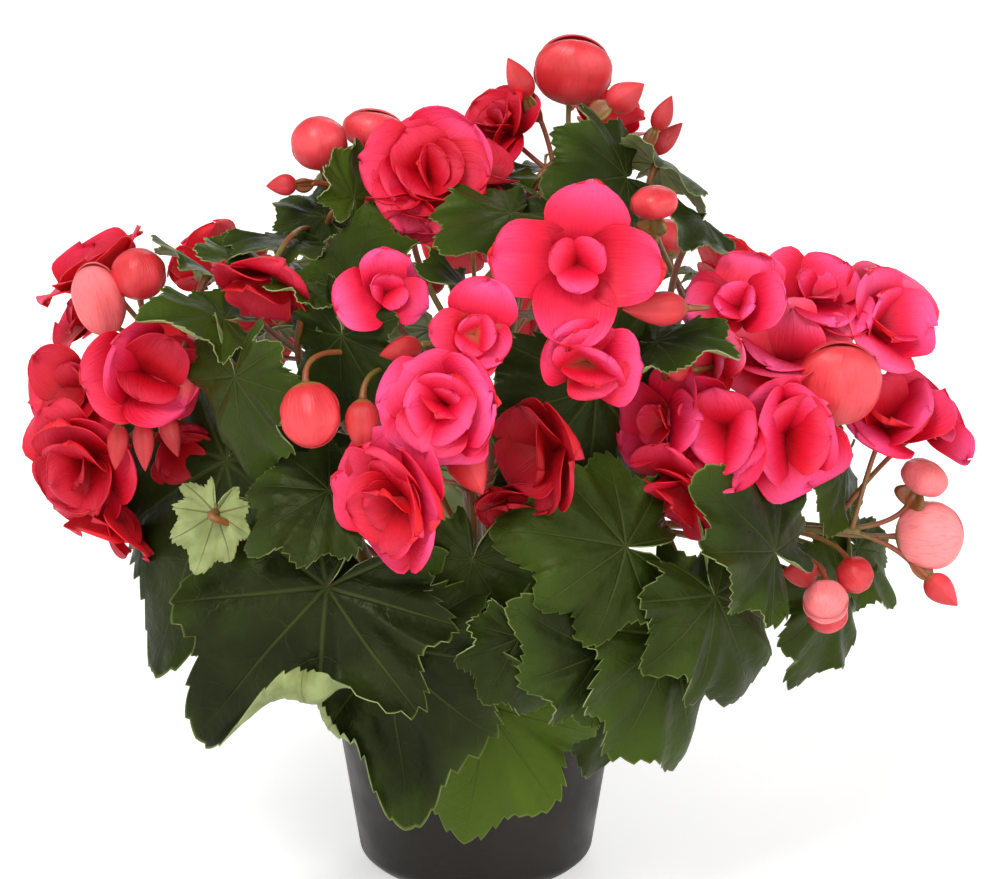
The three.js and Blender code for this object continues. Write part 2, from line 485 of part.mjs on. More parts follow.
// Each spray leaves its stem at a height, or else at the stem's top, and runs to its hub. Each flower on
// it has the place where its own stalk ends and the way it faces. Buds and closed round flowers grow on
// the spray itself, and the open blooms sit on its stalks.
const sprays = {
  top: { stem: 'middle', hub: [38, -4, 293], flowers: [
    { form: 'pod', at: [37, -3, 311], face: [0.1, -0.3, 0.95], width: 29, length: 27 },
    { form: 'slim', at: [25, -8, 306], face: [-0.45, -0.1, 0.85], width: 10, length: 26 },
    { form: 'slim', at: [46, -14, 306], face: [0.8, -0.2, 0.55], width: 12, length: 24 },
    { form: 'slim', at: [68, -5, 294], face: [0.4, 0, 0.9], width: 8, length: 22 },
    { form: 'slim', at: [70, 1, 291], face: [0.7, 0.1, 0.7], width: 8, length: 17 },
    { form: 'double', name: 'bloomTopLeft', at: [13, -7, 299], face: [-0.5, -0.6, 0.6], size: 20 },
    { form: 'cup', name: 'bloomTopRight', at: [51, 8, 296], face: [0.25, 0.2, 0.9], size: 19 },
  ] },
  upperLeft: { stem: 'leftBack', hub: [-44, -28, 268], flowers: [
    { form: 'round', at: [-57, -38, 289], face: [-0.1, -0.2, 1], width: 20, length: 20 },
    { form: 'pod', at: [-40, -24, 289], face: [0.15, -0.3, 1], width: 23, length: 22 },
    { form: 'slim', at: [-61, -46, 284], face: [-1, -0.2, -0.05], width: 8, length: 17 },
    { form: 'double', name: 'bloomUpperLeft', at: [-18, -52, 287], face: [0.2, -0.85, 0.4], size: 21 },
    { form: 'cup', name: 'bloomUpperLeft', at: [-22, -58, 279], face: [-0.1, -0.6, -0.8], size: 15 },
    { form: 'cup', name: 'bloomUpperMiddle', at: [-6, -34, 283], face: [0.45, -0.2, 0.85], size: 21 },
    { form: 'cup', name: 'bloomLeftBell', at: [-70, -86, 261], face: [-0.7, -0.5, -0.5], size: 23 },
  ] },
  centre: { stem: 'middle', height: 225, hub: [38, -64, 246], flowers: [
    { form: 'open', name: 'bloomCentre', at: [37, -108, 262], face: [0.05, -1, 0.15], size: 30 },
    { form: 'cup', name: 'bloomCentreLow', at: [41, -110, 228], face: [0.15, -0.95, -0.1], size: 19 },
    { form: 'slim', at: [76, -106, 246], face: [-1, -0.25, 0.02], width: 12, length: 24 },
    { form: 'round', at: [66, -88, 271], face: [-0.1, -0.2, 1], width: 16, length: 17 },
  ] },
  middleLeft: { stem: 'front', hub: [-14, -86, 222], flowers: [
    { form: 'open', name: 'bloomSide', at: [-31, -106, 251], face: [0.3, -0.85, 0.35], size: 17 },
    { form: 'slim', at: [-18, -114, 234], face: [-0.9, -0.45, -0.15], width: 9, length: 16 },
    { form: 'open', name: 'bloomEye', at: [1, -122, 239], face: [0.1, -0.95, 0.25], size: 17 },
    { form: 'double', name: 'bloomMiddle', at: [-8, -128, 216], face: [-0.15, -0.97, 0.1], size: 21 },
    { form: 'slim', at: [-38, -121, 216], face: [0, -0.3, -0.95], width: 12, length: 20 },
    { form: 'pod', at: [-58, -118, 221], face: [0.15, -0.35, -0.9], width: 20, length: 23 },
  ] },
  middleLow: { stem: 'front', height: 165, hub: [-2, -90, 186], flowers: [
    { form: 'double', name: 'bloomLow', at: [-22, -128, 184], face: [-0.3, -0.92, -0.15], size: 24 },
    { form: 'slim', at: [-5, -122, 200], face: [0.4, -0.6, -0.65], width: 14, length: 22 },
    { form: 'cup', name: 'bloomShade', at: [30, -106, 195], face: [-0.75, -0.6, -0.1], size: 25 },
    { form: 'cup', name: 'bloomShade', at: [16, -102, 178], face: [-0.1, -0.7, -0.7], size: 16 },
  ] },
  left: { stem: 'leftFront', hub: [-110, -46, 210], flowers: [
    { form: 'double', name: 'bloomLeftTop', at: [-138, -36, 243], face: [-0.5, -0.1, 0.85], size: 20 },
    { form: 'open', name: 'bloomLeftTop', at: [-146, -30, 230], face: [-0.8, -0.3, 0.4], size: 17 },
    { form: 'round', at: [-124, -60, 243], face: [0, -0.2, 1], width: 19, length: 19 },
    { form: 'pod', at: [-137, -58, 229], face: [-0.15, -0.3, 0.95], width: 18, length: 29 },
    { form: 'cup', name: 'bloomLeftCup', at: [-122, -74, 217], face: [0.4, -0.88, 0.2], size: 22 },
    { form: 'open', name: 'bloomLeftOuter', at: [-148, -46, 206], face: [-0.5, -0.8, 0.2], size: 20 },
    { form: 'double', name: 'bloomLeftLow', at: [-145, -50, 179], face: [-0.4, -0.85, -0.25], size: 20 },
    { form: 'slim', at: [-132, -68, 196], face: [-0.1, -0.2, -1], width: 8, length: 17 },
    { form: 'slim', at: [-123, -70, 198], face: [0.05, -0.2, -1], width: 8, length: 19 },
    { form: 'slim', at: [-115, -67, 200], face: [0.3, -0.2, -1], width: 8, length: 17 },
    { form: 'slim', at: [-107, -72, 225], face: [-0.05, -0.2, -1], width: 12, length: 26 },
    { form: 'cup', name: 'bloomLeftFoot', at: [-138, -42, 160], face: [-0.4, -0.4, -0.8], size: 20 },
    { form: 'cup', name: 'bloomLeftInner', at: [-114, -46, 184], face: [0.2, -0.75, -0.4], size: 15 },
    { form: 'double', name: 'bloomUnderLeaves', at: [-86, -60, 154], face: [-0.3, -0.9, -0.3], size: 20 },
  ] },
  right: { stem: 'rightBack', hub: [112, -34, 214], flowers: [
    { form: 'double', name: 'bloomRightTop', at: [99, -68, 243], face: [-0.3, -0.8, 0.5], size: 21 },
    { form: 'open', name: 'bloomRightBack', at: [128, -42, 238], face: [0.2, -0.6, 0.75], size: 20 },
    { form: 'double', name: 'bloomRightOuter', at: [152, -36, 226], face: [0.5, -0.7, 0.5], size: 19 },
    { form: 'pod', at: [135, -62, 196], face: [0.05, -0.3, 0.95], width: 31, length: 33 },
    { form: 'cup', name: 'bloomRightInner', at: [116, -54, 216], face: [-0.1, -0.7, 0.65], size: 17 },
    { form: 'slim', at: [79, -90, 221], face: [-0.8, -0.5, 0.1], width: 9, length: 13 },
    { form: 'cup', name: 'bloomRightSmall', at: [89, -80, 221], face: [-0.4, -0.8, 0.3], size: 12 },
  ] },
  rightMiddle: { stem: 'rightFront', hub: [94, -68, 198], flowers: [
    { form: 'cup', name: 'bloomRightCup', at: [93, -92, 200], face: [-0.4, -0.88, 0.1], size: 22 },
    { form: 'double', name: 'bloomRightMiddle', at: [115, -80, 196], face: [0.1, -0.95, 0.1], size: 23 },
    { form: 'open', name: 'bloomRightSide', at: [72, -86, 200], face: [-0.75, -0.6, 0.2], size: 18 },
    { form: 'double', name: 'bloomRightUnder', at: [77, -86, 178], face: [-0.5, -0.65, -0.5], size: 18 },
  ] },
  rightLow: { stem: 'rightFront', height: 150, hub: [150, -40, 148], flowers: [
    { form: 'cup', name: 'bloomRightLow', at: [158, -40, 188], face: [0.2, -0.6, 0.75], size: 17 },
    { form: 'open', name: 'bloomRightEnd', at: [176, -26, 185], face: [0.6, -0.6, 0.5], size: 16 },
    { form: 'round', at: [170, -34, 158], face: [0.4, -0.2, 0.85], width: 18, length: 19 },
    { form: 'pod', at: [166, -32, 144], face: [0.95, -0.25, 0.1], width: 26, length: 26 },
    { form: 'slim', at: [172, -36, 134], face: [0.7, -0.2, -0.65], width: 11, length: 24 },
    { form: 'slim', at: [130, -65, 138], face: [-0.9, -0.35, 0.1], width: 11, length: 15 },
    { form: 'round', at: [133, -73, 135], face: [-0.15, -0.85, -0.5], width: 16, length: 17 },
    { form: 'round', at: [143, -58, 141], face: [0.3, -0.6, -0.6], width: 13, length: 14 },
    { form: 'round', at: [135, -60, 129], face: [0, -0.3, -0.95], width: 15, length: 16 },
  ] },
  backLeft: { stem: 'leftBack', height: 200, hub: [-84, 54, 216], flowers: [
    { form: 'double', name: 'bloomBackLeft', at: [-110, 60, 236], face: [-0.6, 0.5, 0.6], size: 22 },
    { form: 'open', name: 'bloomBackLeftLow', at: [-86, 94, 208], face: [-0.4, 0.85, 0.3], size: 24 },
    { form: 'cup', name: 'bloomBackLeftSide', at: [-122, 62, 200], face: [-0.9, 0.4, -0.1], size: 20 },
    { form: 'round', at: [-96, 80, 232], face: [-0.3, 0.6, 0.7], width: 17, length: 18 },
  ] },
  backMiddle: { stem: 'back', hub: [2, 98, 226], flowers: [
    { form: 'double', name: 'bloomBack', at: [-2, 122, 240], face: [0, 0.9, 0.4], size: 24 },
    { form: 'open', name: 'bloomBackLow', at: [24, 126, 206], face: [0.3, 0.92, 0.1], size: 23 },
    { form: 'slim', at: [-16, 112, 226], face: [-0.6, 0.6, -0.4], width: 11, length: 20 },
    { form: 'round', at: [18, 100, 250], face: [0.3, 0.3, 0.9], width: 17, length: 17 },
  ] },
  backRight: { stem: 'rightBack', height: 190, hub: [94, 62, 222], flowers: [
    { form: 'double', name: 'bloomBackRight', at: [108, 80, 238], face: [0.5, 0.6, 0.6], size: 23 },
    { form: 'cup', name: 'bloomBackRightSide', at: [126, 68, 206], face: [0.8, 0.5, 0], size: 21 },
    { form: 'round', at: [84, 92, 238], face: [-0.1, 0.6, 0.8], width: 17, length: 18 },
  ] },
};

const growsOnSpray = (flower) => flower.name === undefined;

// Steps along a flower's stalk. One that has to turn back to face its flower's way has more of them.
const flowerStalkSteps = [
  { least: 0.5, steps: 1 },
  { least: 0, steps: 2 },
  { least: -1, steps: 3 },
];

// Closed flowers from the tip down: shares of the half-width and of the length. A slim one is a pointed
// bud or an ovary, and a pod is a round one pressed flat.
const budRows = {
  round: [[0.7, 0.88], [1, 0.5], [0.75, 0.12]],
  slim: [[0.9, 0.6], [0.8, 0.15]],
  pod: [[0.7, 0.88], [1, 0.5], [0.75, 0.12]],
};
const budSides = 2 * stalkSides;
const podFlatness = 0.62;

// A direction across the way a flower faces, level for one that points up.
function acrossFace(face) {
  const reference = Math.abs(face.y) > 0.8 ? new THREE.Vector3(0, 0, 1) : new THREE.Vector3(0, 1, 0);
  return face.clone().cross(reference).normalize();
}

// The rows of a closed flower's points, from its tip down.
function budPoints(flower, extra) {
  const face = vector(flower.face).normalize();
  const forward = acrossFace(face);
  const aside = face.clone().cross(forward);
  const flatness = flower.form === 'pod' ? podFlatness : 1;
  const points = [vector(flower.at).addScaledVector(face, flower.length + extra)];
  for (const [spread, height] of budRows[flower.form]) {
    const radius = spread * flower.width / 2 + extra;
    for (let i = 0; i < budSides; i += 1) {
      const angle = Math.PI + 2 * Math.PI * i / budSides;
      points.push(vector(flower.at)
        .addScaledVector(face, height * flower.length)
        .addScaledVector(forward, radius * Math.cos(angle))
        .addScaledVector(aside, radius * flatness * Math.sin(angle)));
    }
  }
  return points;
}

// A closed flower's walls down to the first ring of its stalk, which follows its rows in the list.
function budCorners(rowCount) {
  const corners = ringCorners(1, rowCount, budSides);
  const lastRow = 1 + (rowCount - 1) * budSides;
  const firstRing = lastRow + budSides;
  for (let i = 0; i < budSides; i += 1) corners.push([0, 1 + i, 1 + (i + 1) % budSides]);
  for (let i = 0; i < stalkSides; i += 1) {
    const [even, odd, nextEven] = [2 * i, 2 * i + 1, (2 * i + 2) % budSides].map((step) => lastRow + step);
    const [ring, nextRing] = [firstRing + i, firstRing + (i + 1) % stalkSides];
    corners.push([even, ring, odd], [odd, ring, nextRing], [odd, nextRing, nextEven]);
  }
  return corners;
}

// A flower's own stalk, with its closed flower where it has one. An open bloom's stalk ends just under it.
function makeFlowerStalk(start, flower, extra) {
  const face = vector(flower.face).normalize();
  const isClosed = growsOnSpray(flower);
  const foot = vector(flower.at);
  if (!isClosed) foot.addScaledVector(face, -petalThickness / 2 - clearGap);
  const straightness = foot.clone().sub(start).normalize().dot(face);
  const steps = flowerStalkSteps.find((entry) => straightness >= entry.least).steps;
  const before = foot.clone().addScaledVector(face, -0.35 * start.distanceTo(foot));
  const route = new THREE.QuadraticBezierCurve3(start, before, foot);
  const points = isClosed ? budPoints(flower, extra) : [];
  const firstRing = points.length;
  points.push(...stalkRings(route, steps, acrossFace(face), flowerStalkRadius + 2 * extra));
  const cover = isClosed ? budCorners(budRows[flower.form].length) : [[0, 1, 2]];
  return solidFromMesh(points, [...cover, ...stalkCorners(firstRing, steps)]);
}

const spareGap = 0.3; // added where a spray starts at a stem's side or top

// A spray: a main stalk from the stem to the hub. The flowers' stalks fork off its outer part, and those
// of the lowest flowers fork off first.
function makeSpray(spray, extra = 0) {
  const hub = vector(spray.hub);
  const curve = stemCurve(spray.stem);
  const start = spray.height ? placeOnStem(spray.stem, spray.height) : curve.getPoint(1);
  const outward = spray.height ? hub.clone().sub(start).setZ(0).normalize() : curve.getTangent(1);
  start.addScaledVector(outward, (spray.height ? stemRadius : 0) + clearGap + spareGap);
  const rise = start.clone().addScaledVector(outward, 0.4 * start.distanceTo(hub));
  const main = new THREE.QuadraticBezierCurve3(start, rise, hub);
  const lowestFirst = [...spray.flowers].sort((first, second) => first.at[2] - second.at[2]);
  const [firstFork, lastFork] = [0.3, 0.97]; // shares of the main stalk's length
  const [sides, steps] = [4, 3];
  const stalks = lowestFirst.map((flower, i) => {
    const share = firstFork + (lastFork - firstFork) * i / (lowestFirst.length - 1);
    return makeFlowerStalk(main.getPoint(share), flower, extra);
  });
  return wasm.Manifold.union([stalk(main, sprayStalkRadius + extra, sides, steps), ...stalks]);
}

// Rings of petals from the outside in. `open` is a petal's angle from the flower's axis at its foot and
// `curl` how far it turns on to its tip, in degrees. Sizes are shares of the flower's size, and `lift`
// is how far up the axis the ring sits, in millimetres. Flowers under a ring's `leastSize` lack it.
const petalRings = {
  open: [
    { length: 1, width: 1.15, open: 62, curl: 30, lift: 0 },
    { length: 0.5, width: 0.5, open: 34, curl: 25, lift: 2.2 },
  ],
  double: [
    { length: 1, width: 1.15, open: 54, curl: 34, lift: 0 },
    { length: 0.8, width: 0.85, open: 34, curl: 34, lift: 2 },
    { length: 0.45, width: 0.5, open: 18, curl: 26, lift: 4, leastSize: 21 },
  ],
  cup: [
    { length: 1, width: 1.15, open: 36, curl: 38, lift: 0 },
    { length: 0.6, width: 0.6, open: 16, curl: 26, lift: 2.4 },
  ],
};
const petalCount = 4;
const petalShare = 0.75; // of the turn that each petal may fill, so that cupped edges stay apart

// The share of its full half-width that a petal has at a share of its length: egg-shaped, with a
// narrow foot and a round end.
function petalSpread(share) {
  const widest = 0.6;
  const span = share < widest ? widest : 1 - widest;
  return Math.sqrt(Math.max(0, 1 - ((widest - share) / span) ** 2));
}

// A place on a petal's mid-surface: an arc that leaves the flower's axis, cupped across, waved at its
// end, and no wider than its share of the ring.
function petalPoint(ring, size, turn, share, side) {
  const length = ring.length * size;
  const open = THREE.MathUtils.degToRad(ring.open);
  const curl = THREE.MathUtils.degToRad(ring.curl);
  const angle = open + curl * share;
  const out = length * (Math.cos(open) - Math.cos(angle)) / curl;
  const up = length * (Math.sin(angle) - Math.sin(open)) / curl;
  const fullWidth = petalSpread(share) * ring.width * size / 2;
  const room = petalShare * out * Math.tan(Math.PI / petalCount);
  const width = side * Math.min(fullWidth, room);
  const wave = 0.05 * length * share ** 2 * Math.sin(3 * turn + 2 * side);
  const inward = 0.5 * width ** 2 / (ring.width * size) + wave;
  const radial = out - inward * Math.cos(angle);
  return new THREE.Vector3(
    radial * Math.cos(turn) - width * Math.sin(turn),
    radial * Math.sin(turn) + width * Math.cos(turn),
    up + inward * Math.sin(angle) + ring.lift);
}

// A ring's mid-surface. Its petals part at notches near the axis. A plain petal has two shoulders, a
// fuller one a tip as well, and the fullest a middle too.
function petalRingSurface(ring, fullness, size, startTurn) {
  const step = 2 * Math.PI / petalCount;
  const points = [new THREE.Vector3(0, 0, ring.lift)];
  for (let i = 0; i < petalCount; i += 1) {
    points.push(petalPoint(ring, size, startTurn + (i - 0.5) * step, notchShare, 0));
  }
  const faces = [];
  const add = (turn, share, side) => points.push(petalPoint(ring, size, turn, share, side)) - 1;
  for (let i = 0; i < petalCount; i += 1) {
    const turn = startTurn + i * step;
    const notch = 1 + i;
    const nextNotch = 1 + (i + 1) % petalCount;
    faces.push([0, notch, nextNotch]);
    const left = add(turn, 0.72, -1);
    const right = add(turn, 0.72, 1);
    if (fullness <= 0) {
      faces.push([notch, left, right], [notch, right, nextNotch]);
      continue;
    }
    const tip = add(turn, 1, 0);
    if (fullness === 1) {
      faces.push([notch, left, tip], [notch, tip, nextNotch], [tip, right, nextNotch]);
      continue;
    }
    const middle = add(turn, 0.5, 0);
    faces.push([notch, middle, nextNotch], [notch, left, middle], [left, tip, middle]);
    faces.push([tip, right, middle], [right, nextNotch, middle]);
  }
  return { points, faces };
}

const fullBloomSize = 21; // smaller blooms have plainer petals
const notchShare = 0.22; // where neighbouring petals part, as a share of their length

// A bloom in one body: the floor of each ring opens on its upper side into the under side of the next.
function makeBloom(flower, extra = 0) {
  const rings = petalRings[flower.form].filter((ring) => flower.size >= (ring.leastSize ?? 0));
  const outerFullness = flower.size < fullBloomSize ? 1 : 2;
  const points = [];
  const corners = [];
  const isFloor = (face) => face[0] === 0;
  const isPetal = (face) => face[0] !== 0;
  let earlierStart = 0;
  for (const [ringNumber, ring] of rings.entries()) {
    const startTurn = (flower.turn ?? flower.at[0]) + ringNumber * Math.PI / petalCount;
    const fullness = outerFullness - ringNumber;
    const { points: middles, faces } = petalRingSurface(ring, fullness, flower.size + extra, startTurn);
    const start = points.length;
    const count = middles.length;
    points.push(...bothSides(middles, faces, petalThickness + 2 * extra));
    const upper = ringNumber === rings.length - 1 ? faces : faces.filter(isPetal);
    const lower = ringNumber === 0 ? faces : faces.filter(isPetal);
    const flipped = lower.map(([first, second, third]) => [first + count, third + count, second + count]);
    const ownCorners = [...upper, ...flipped, ...wallCorners(faces, count)];
    corners.push(...ownCorners.map((corner) => corner.map((index) => index + start)));
    if (ringNumber > 0) {
      for (const [, notch, nextNotch] of faces.filter(isFloor)) {
        const [below, nextBelow] = [earlierStart + notch, earlierStart + nextNotch];
        const [above, nextAbove] = [start + count + notch, start + count + nextNotch];
        corners.push([below, nextBelow, above], [above, nextBelow, nextAbove]);
      }
    }
    earlierStart = start;
  }
  const axis = vector(flower.face).normalize();
  const towards = new THREE.Quaternion().setFromUnitVectors(new THREE.Vector3(0, 0, 1), axis);
  const placed = points.map((point) => point.applyQuaternion(towards).add(vector(flower.at)));
  return solidFromMesh(placed, corners);
}

// ---- The plant, cleared piece by piece ----

// Where two pieces touch on the plant, the later one is cut back from the earlier one by the clear gap.
const stemSides = 5;
const stemSteps = 4;
const stemCutters = {};
for (const name of Object.keys(stems)) {
  stemCutters[name] = stalk(stemCurve(name), stemRadius + clearGap, stemSides, stemSteps, clearGap);
}
const allStems = Object.values(stemCutters);

const pieces = [
  { name: 'pot', solid: makePot(), colour: colours.pot },
  { name: 'soil', solid: makeSoil(allStems), colour: colours.soil },
];

const sprayCutters = [];
for (const [name, spray] of Object.entries(sprays)) {
  const solid = clearOf(makeSpray(spray), [...allStems, ...sprayCutters]);
  pieces.push({ name: `spray_${name}`, solid, colour: colours.spray });
  sprayCutters.push(makeSpray(spray, clearGap));
}

// Flowers with one name grow into one tight bunch.
const blooms = {};
for (const flower of Object.values(sprays).flatMap((spray) => spray.flowers)) {
  if (growsOnSpray(flower)) continue;
  const others = Object.keys(blooms).filter((name) => name !== flower.name);
  const otherCutters = others.flatMap((name) => blooms[name].cutters);
  const cleared = clearOf(makeBloom(flower), [...allStems, ...sprayCutters, ...otherCutters]);
  const bunch = blooms[flower.name] ?? { solids: [], cutters: [] };
  bunch.solids.push(cleared);
  bunch.cutters.push(makeBloom(flower, clearGap));
  blooms[flower.name] = bunch;
}
for (const [name, { solids }] of Object.entries(blooms)) {
  pieces.push({ name, solid: wasm.Manifold.union(solids), colour: colours.bloom });
}

const leafCutters = Object.values(blooms).flatMap((bunch) => bunch.cutters);
leafCutters.push(...sprayCutters);
for (const [stemName, list] of Object.entries(leaves)) {
  const otherStems = allStems.filter((cutter) => cutter !== stemCutters[stemName]);
  const cutters = [...otherStems, ...leafCutters];
  const stem = stalk(stemCurve(stemName), stemRadius, stemSides, stemSteps);
  const cleared = list.map((leaf) => clearOf(makeLeaf(stemName, leaf), cutters));
  const solid = largestBody(wasm.Manifold.union([stem, ...cleared]));
  pieces.push({ name: `leaves_${stemName}`, solid, colour: colours.leaf });
  leafCutters.push(...list.map((leaf) => makeLeaf(stemName, leaf, clearGap)));
}

// ---- Scene graph ----

const flatTolerance = 0.03; // points this near a flat face are left out of it
function meshOf({ name, solid, colour }) {
  const { vertProperties, triVerts } = solid.simplify(flatTolerance).getMesh();
  const geometry = new THREE.BufferGeometry();
  geometry.setAttribute('position', new THREE.BufferAttribute(vertProperties, 3));
  geometry.setIndex(new THREE.BufferAttribute(triVerts, 1));
  geometry.computeVertexNormals();
  const mesh = new THREE.Mesh(geometry, new THREE.MeshStandardMaterial({ color: colour, roughness: 0.6 }));
  mesh.name = name;
  return mesh;
}

const group = new THREE.Group();
group.add(...pieces.map(meshOf));

export default group;
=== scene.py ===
# A potted elatior begonia, dressed round its CAD frame. The tables are in millimetres, the scene is in
# metres, +Z is up and the plant's front faces -Y.
import math

import bmesh
import bpy
import numpy as np
from functools import partial
from math import pi
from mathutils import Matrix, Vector
from numpy import cos, exp, sin


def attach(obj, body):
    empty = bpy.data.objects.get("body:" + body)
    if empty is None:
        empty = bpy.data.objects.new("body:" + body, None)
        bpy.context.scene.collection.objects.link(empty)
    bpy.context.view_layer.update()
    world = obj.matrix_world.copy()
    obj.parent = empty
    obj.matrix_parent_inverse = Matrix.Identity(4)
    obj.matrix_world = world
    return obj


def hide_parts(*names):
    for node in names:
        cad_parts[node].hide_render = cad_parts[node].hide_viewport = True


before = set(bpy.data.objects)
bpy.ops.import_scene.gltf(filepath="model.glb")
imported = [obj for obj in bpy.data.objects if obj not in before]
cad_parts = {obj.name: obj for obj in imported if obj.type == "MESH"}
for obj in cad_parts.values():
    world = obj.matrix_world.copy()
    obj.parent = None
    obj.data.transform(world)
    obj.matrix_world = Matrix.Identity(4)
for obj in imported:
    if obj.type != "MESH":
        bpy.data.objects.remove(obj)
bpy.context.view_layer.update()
mm = 0.001
weldDistance = 2e-6
print("frame loaded:", len(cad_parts), "nodes")


# Small tools for arrays of points

def unit(vectors):
    # each vector divided by its own length
    return vectors / np.linalg.norm(vectors, axis=-1, keepdims=True)


def ease(low, high, values):
    # 0 below low, 1 above high, and 3t^2 - 2t^3 between them
    t = np.clip((values - low) / (high - low), 0, 1)
    return t * t * (3 - 2 * t)


def spaced(count):
    # (1 - cos(pi t)) / 2, for t in even steps from 0 to 1, so the rows are closer near both ends
    return 0.5 - 0.5 * cos(pi * np.linspace(0, 1, count))


def around(count):
    # one whole turn as a row of angles
    return np.linspace(0, 2 * pi, count)[None, :]


def bezier(corners, steps):
    # sum over the corners of binomial(n, k) * (1 - t)^(n - k) * t^k * corner k, for t from 0 to 1
    corners = np.array(corners, float)
    n = len(corners) - 1
    t = np.linspace(0, 1, steps + 1)[:, None]
    weights = [math.comb(n, k) * (1 - t) ** (n - k) * t ** k for k in range(n + 1)]
    return sum(weight * corner for weight, corner in zip(weights, corners))


def gridFaces(rows, columns):
    # squares between neighbours of a grid listed row by row, facing (along the rows) x (along a row)
    r, c = np.meshgrid(np.arange(rows - 1), np.arange(columns - 1), indexing="ij")
    first = r * columns + c
    return np.stack([first, first + columns, first + columns + 1, first + 1], -1).reshape(-1, 4)


def surface(points, u, v, finish, tone=0.0, edge=0.0):
    # a grid of points with its pattern coordinates, the name of its finish and its two shades
    rows, columns = points.shape[:2]
    flat = np.ones((rows, columns))
    return {
        "points": points.reshape(-1, 3), "faces": gridFaces(rows, columns), "finish": finish,
        "uv": np.stack([u * flat, v * flat], -1).reshape(-1, 2),
        "tone": (tone * flat).ravel(), "edge": (edge * flat).ravel(),
    }


def tubeSurface(path, radius, sides, tone):
    # path(s) + radius(s) * (cos t * n(s) + sin t * b(s)), with n and b square to the path, closed at both
    # ends by rings of no radius
    path = np.concatenate([path[:1], path, path[-1:]])
    radius = np.concatenate([[0], radius, [0]])[:, None, None]
    tangent = np.gradient(path[1:-1], axis=0)
    tangent = unit(np.concatenate([tangent[:1], tangent, tangent[-1:]]))
    reference = np.eye(3)[np.argmin(np.abs(path[-1] - path[0]))]
    n = unit(reference - tangent * (tangent @ reference)[:, None])
    b = np.cross(n, tangent)
    t = around(sides + 1)[:, :, None]
    points = path[:, None] + radius * (cos(t) * n[:, None] + sin(t) * b[:, None])
    v = np.linspace(0, 1, len(path))[:, None]
    return surface(points, t[0, :, 0] / (2 * pi), v, "stalk", tone, v)


def link(name, data):
    # an object of that name in the scene
    made = bpy.data.objects.new(name, data)
    bpy.context.scene.collection.objects.link(made)
    return made


def makePiece(name, surfaces, finishes, nodes, thickness=0.0, underside=0):
    # one object from those surfaces that have one of its finishes, its doubled points merged, with a wall
    # where it is a thin sheet. The wall's far side and rim take the finish `underside` places further on
    surfaces = [each for each in surfaces if each["finish"] in finishes]
    counts = np.cumsum([0] + [len(each["points"]) for each in surfaces])
    keys = ("points", "uv", "tone", "edge")
    joined = {key: np.concatenate([each[key] for each in surfaces]) for key in keys}
    points = joined["points"] * mm
    faces = np.concatenate([each["faces"] + start for each, start in zip(surfaces, counts)])
    mesh = bpy.data.meshes.new(name)
    mesh.vertices.add(len(points))
    mesh.vertices.foreach_set("co", points.ravel())
    mesh.loops.add(faces.size)
    mesh.loops.foreach_set("vertex_index", faces.ravel())
    mesh.polygons.add(len(faces))
    mesh.polygons.foreach_set("loop_start", np.arange(0, faces.size, 4))
    mesh.polygons.foreach_set("use_smooth", np.ones(len(faces), bool))
    order = [list(finishes).index(each["finish"]) for each in surfaces]
    finish = np.repeat(order, [len(each["faces"]) for each in surfaces])
    mesh.polygons.foreach_set("material_index", finish.astype(np.int32))
    mesh.update(calc_edges=True)
    uv = joined["uv"][faces.ravel()].astype(np.float32)
    mesh.uv_layers.new(name="form").data.foreach_set("uv", uv.ravel())
    for key in ("tone", "edge"):
        mesh.attributes.new(key, "FLOAT", "POINT").data.foreach_set("value", joined[key].astype(np.float32))
    merged = bmesh.new()
    merged.from_mesh(mesh)
    bmesh.ops.remove_doubles(merged, verts=merged.verts, dist=weldDistance)
    merged.to_mesh(mesh)
    merged.free()
    for finishMaterial in finishes.values():
        mesh.materials.append(finishMaterial)
    piece = link(name, mesh)
    if thickness:
        wall = piece.modifiers.new("wall", "SOLIDIFY")
        wall.thickness = thickness * mm
        wall.offset = 0
        wall.material_offset = underside
        wall.material_offset_rim = underside
    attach(piece, "root")
    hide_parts(*nodes)


# Finishes, all worked out from nodes. A look holds screen colours from 0 to 255, the shares by which they
# show, the roughness (lumps a metre, lowest, highest), and the relief in millimetres

def shade(red, green, blue):
    # a screen colour as light: ((c + 0.055) / 1.055)^2.4
    return tuple(((c / 255 + 0.055) / 1.055) ** 2.4 for c in (red, green, blue)) + (1.0,)


def gloss(level, tint):
    return {"Specular IOR Level": level, "Specular Tint": (*tint, 1)}


def flesh(weight, radius=(1.0, 0.2, 0.1)):
    # light that goes under the skin and comes out up to two millimetres further on
    return {"Subsurface Weight": weight, "Subsurface Radius": radius, "Subsurface Scale": 2 * mm}


def feedAll(sockets, values):
    # a link where a value is worked out, or else the number or colour itself
    for key, value in values.items():
        if isinstance(value, bpy.types.NodeSocket):
            value.id_data.links.new(value, sockets[key])
        else:
            sockets[key].default_value = value


def newNode(kind, *values):
    # a node in the tree that the first worked out value comes from
    tree = next(value.id_data for value in values if isinstance(value, bpy.types.NodeSocket))
    return tree.nodes.new(kind)


def calc(operation, *values):
    node = newNode("ShaderNodeMath", *values)
    node.operation = operation
    feedAll(node.inputs, dict(enumerate(values)))
    return node.outputs[0]


times, plus, minus = (partial(calc, operation) for operation in ("MULTIPLY", "ADD", "SUBTRACT"))


def mapped(value, low, high, toLow=0.0, toHigh=1.0):
    # toLow up to low and toHigh from high on, with a smooth step between them
    node = newNode("ShaderNodeMapRange", value)
    node.interpolation_type = "SMOOTHSTEP"
    feedAll(node.inputs, dict(enumerate((value, low, high, toLow, toHigh))))
    return node.outputs[0]


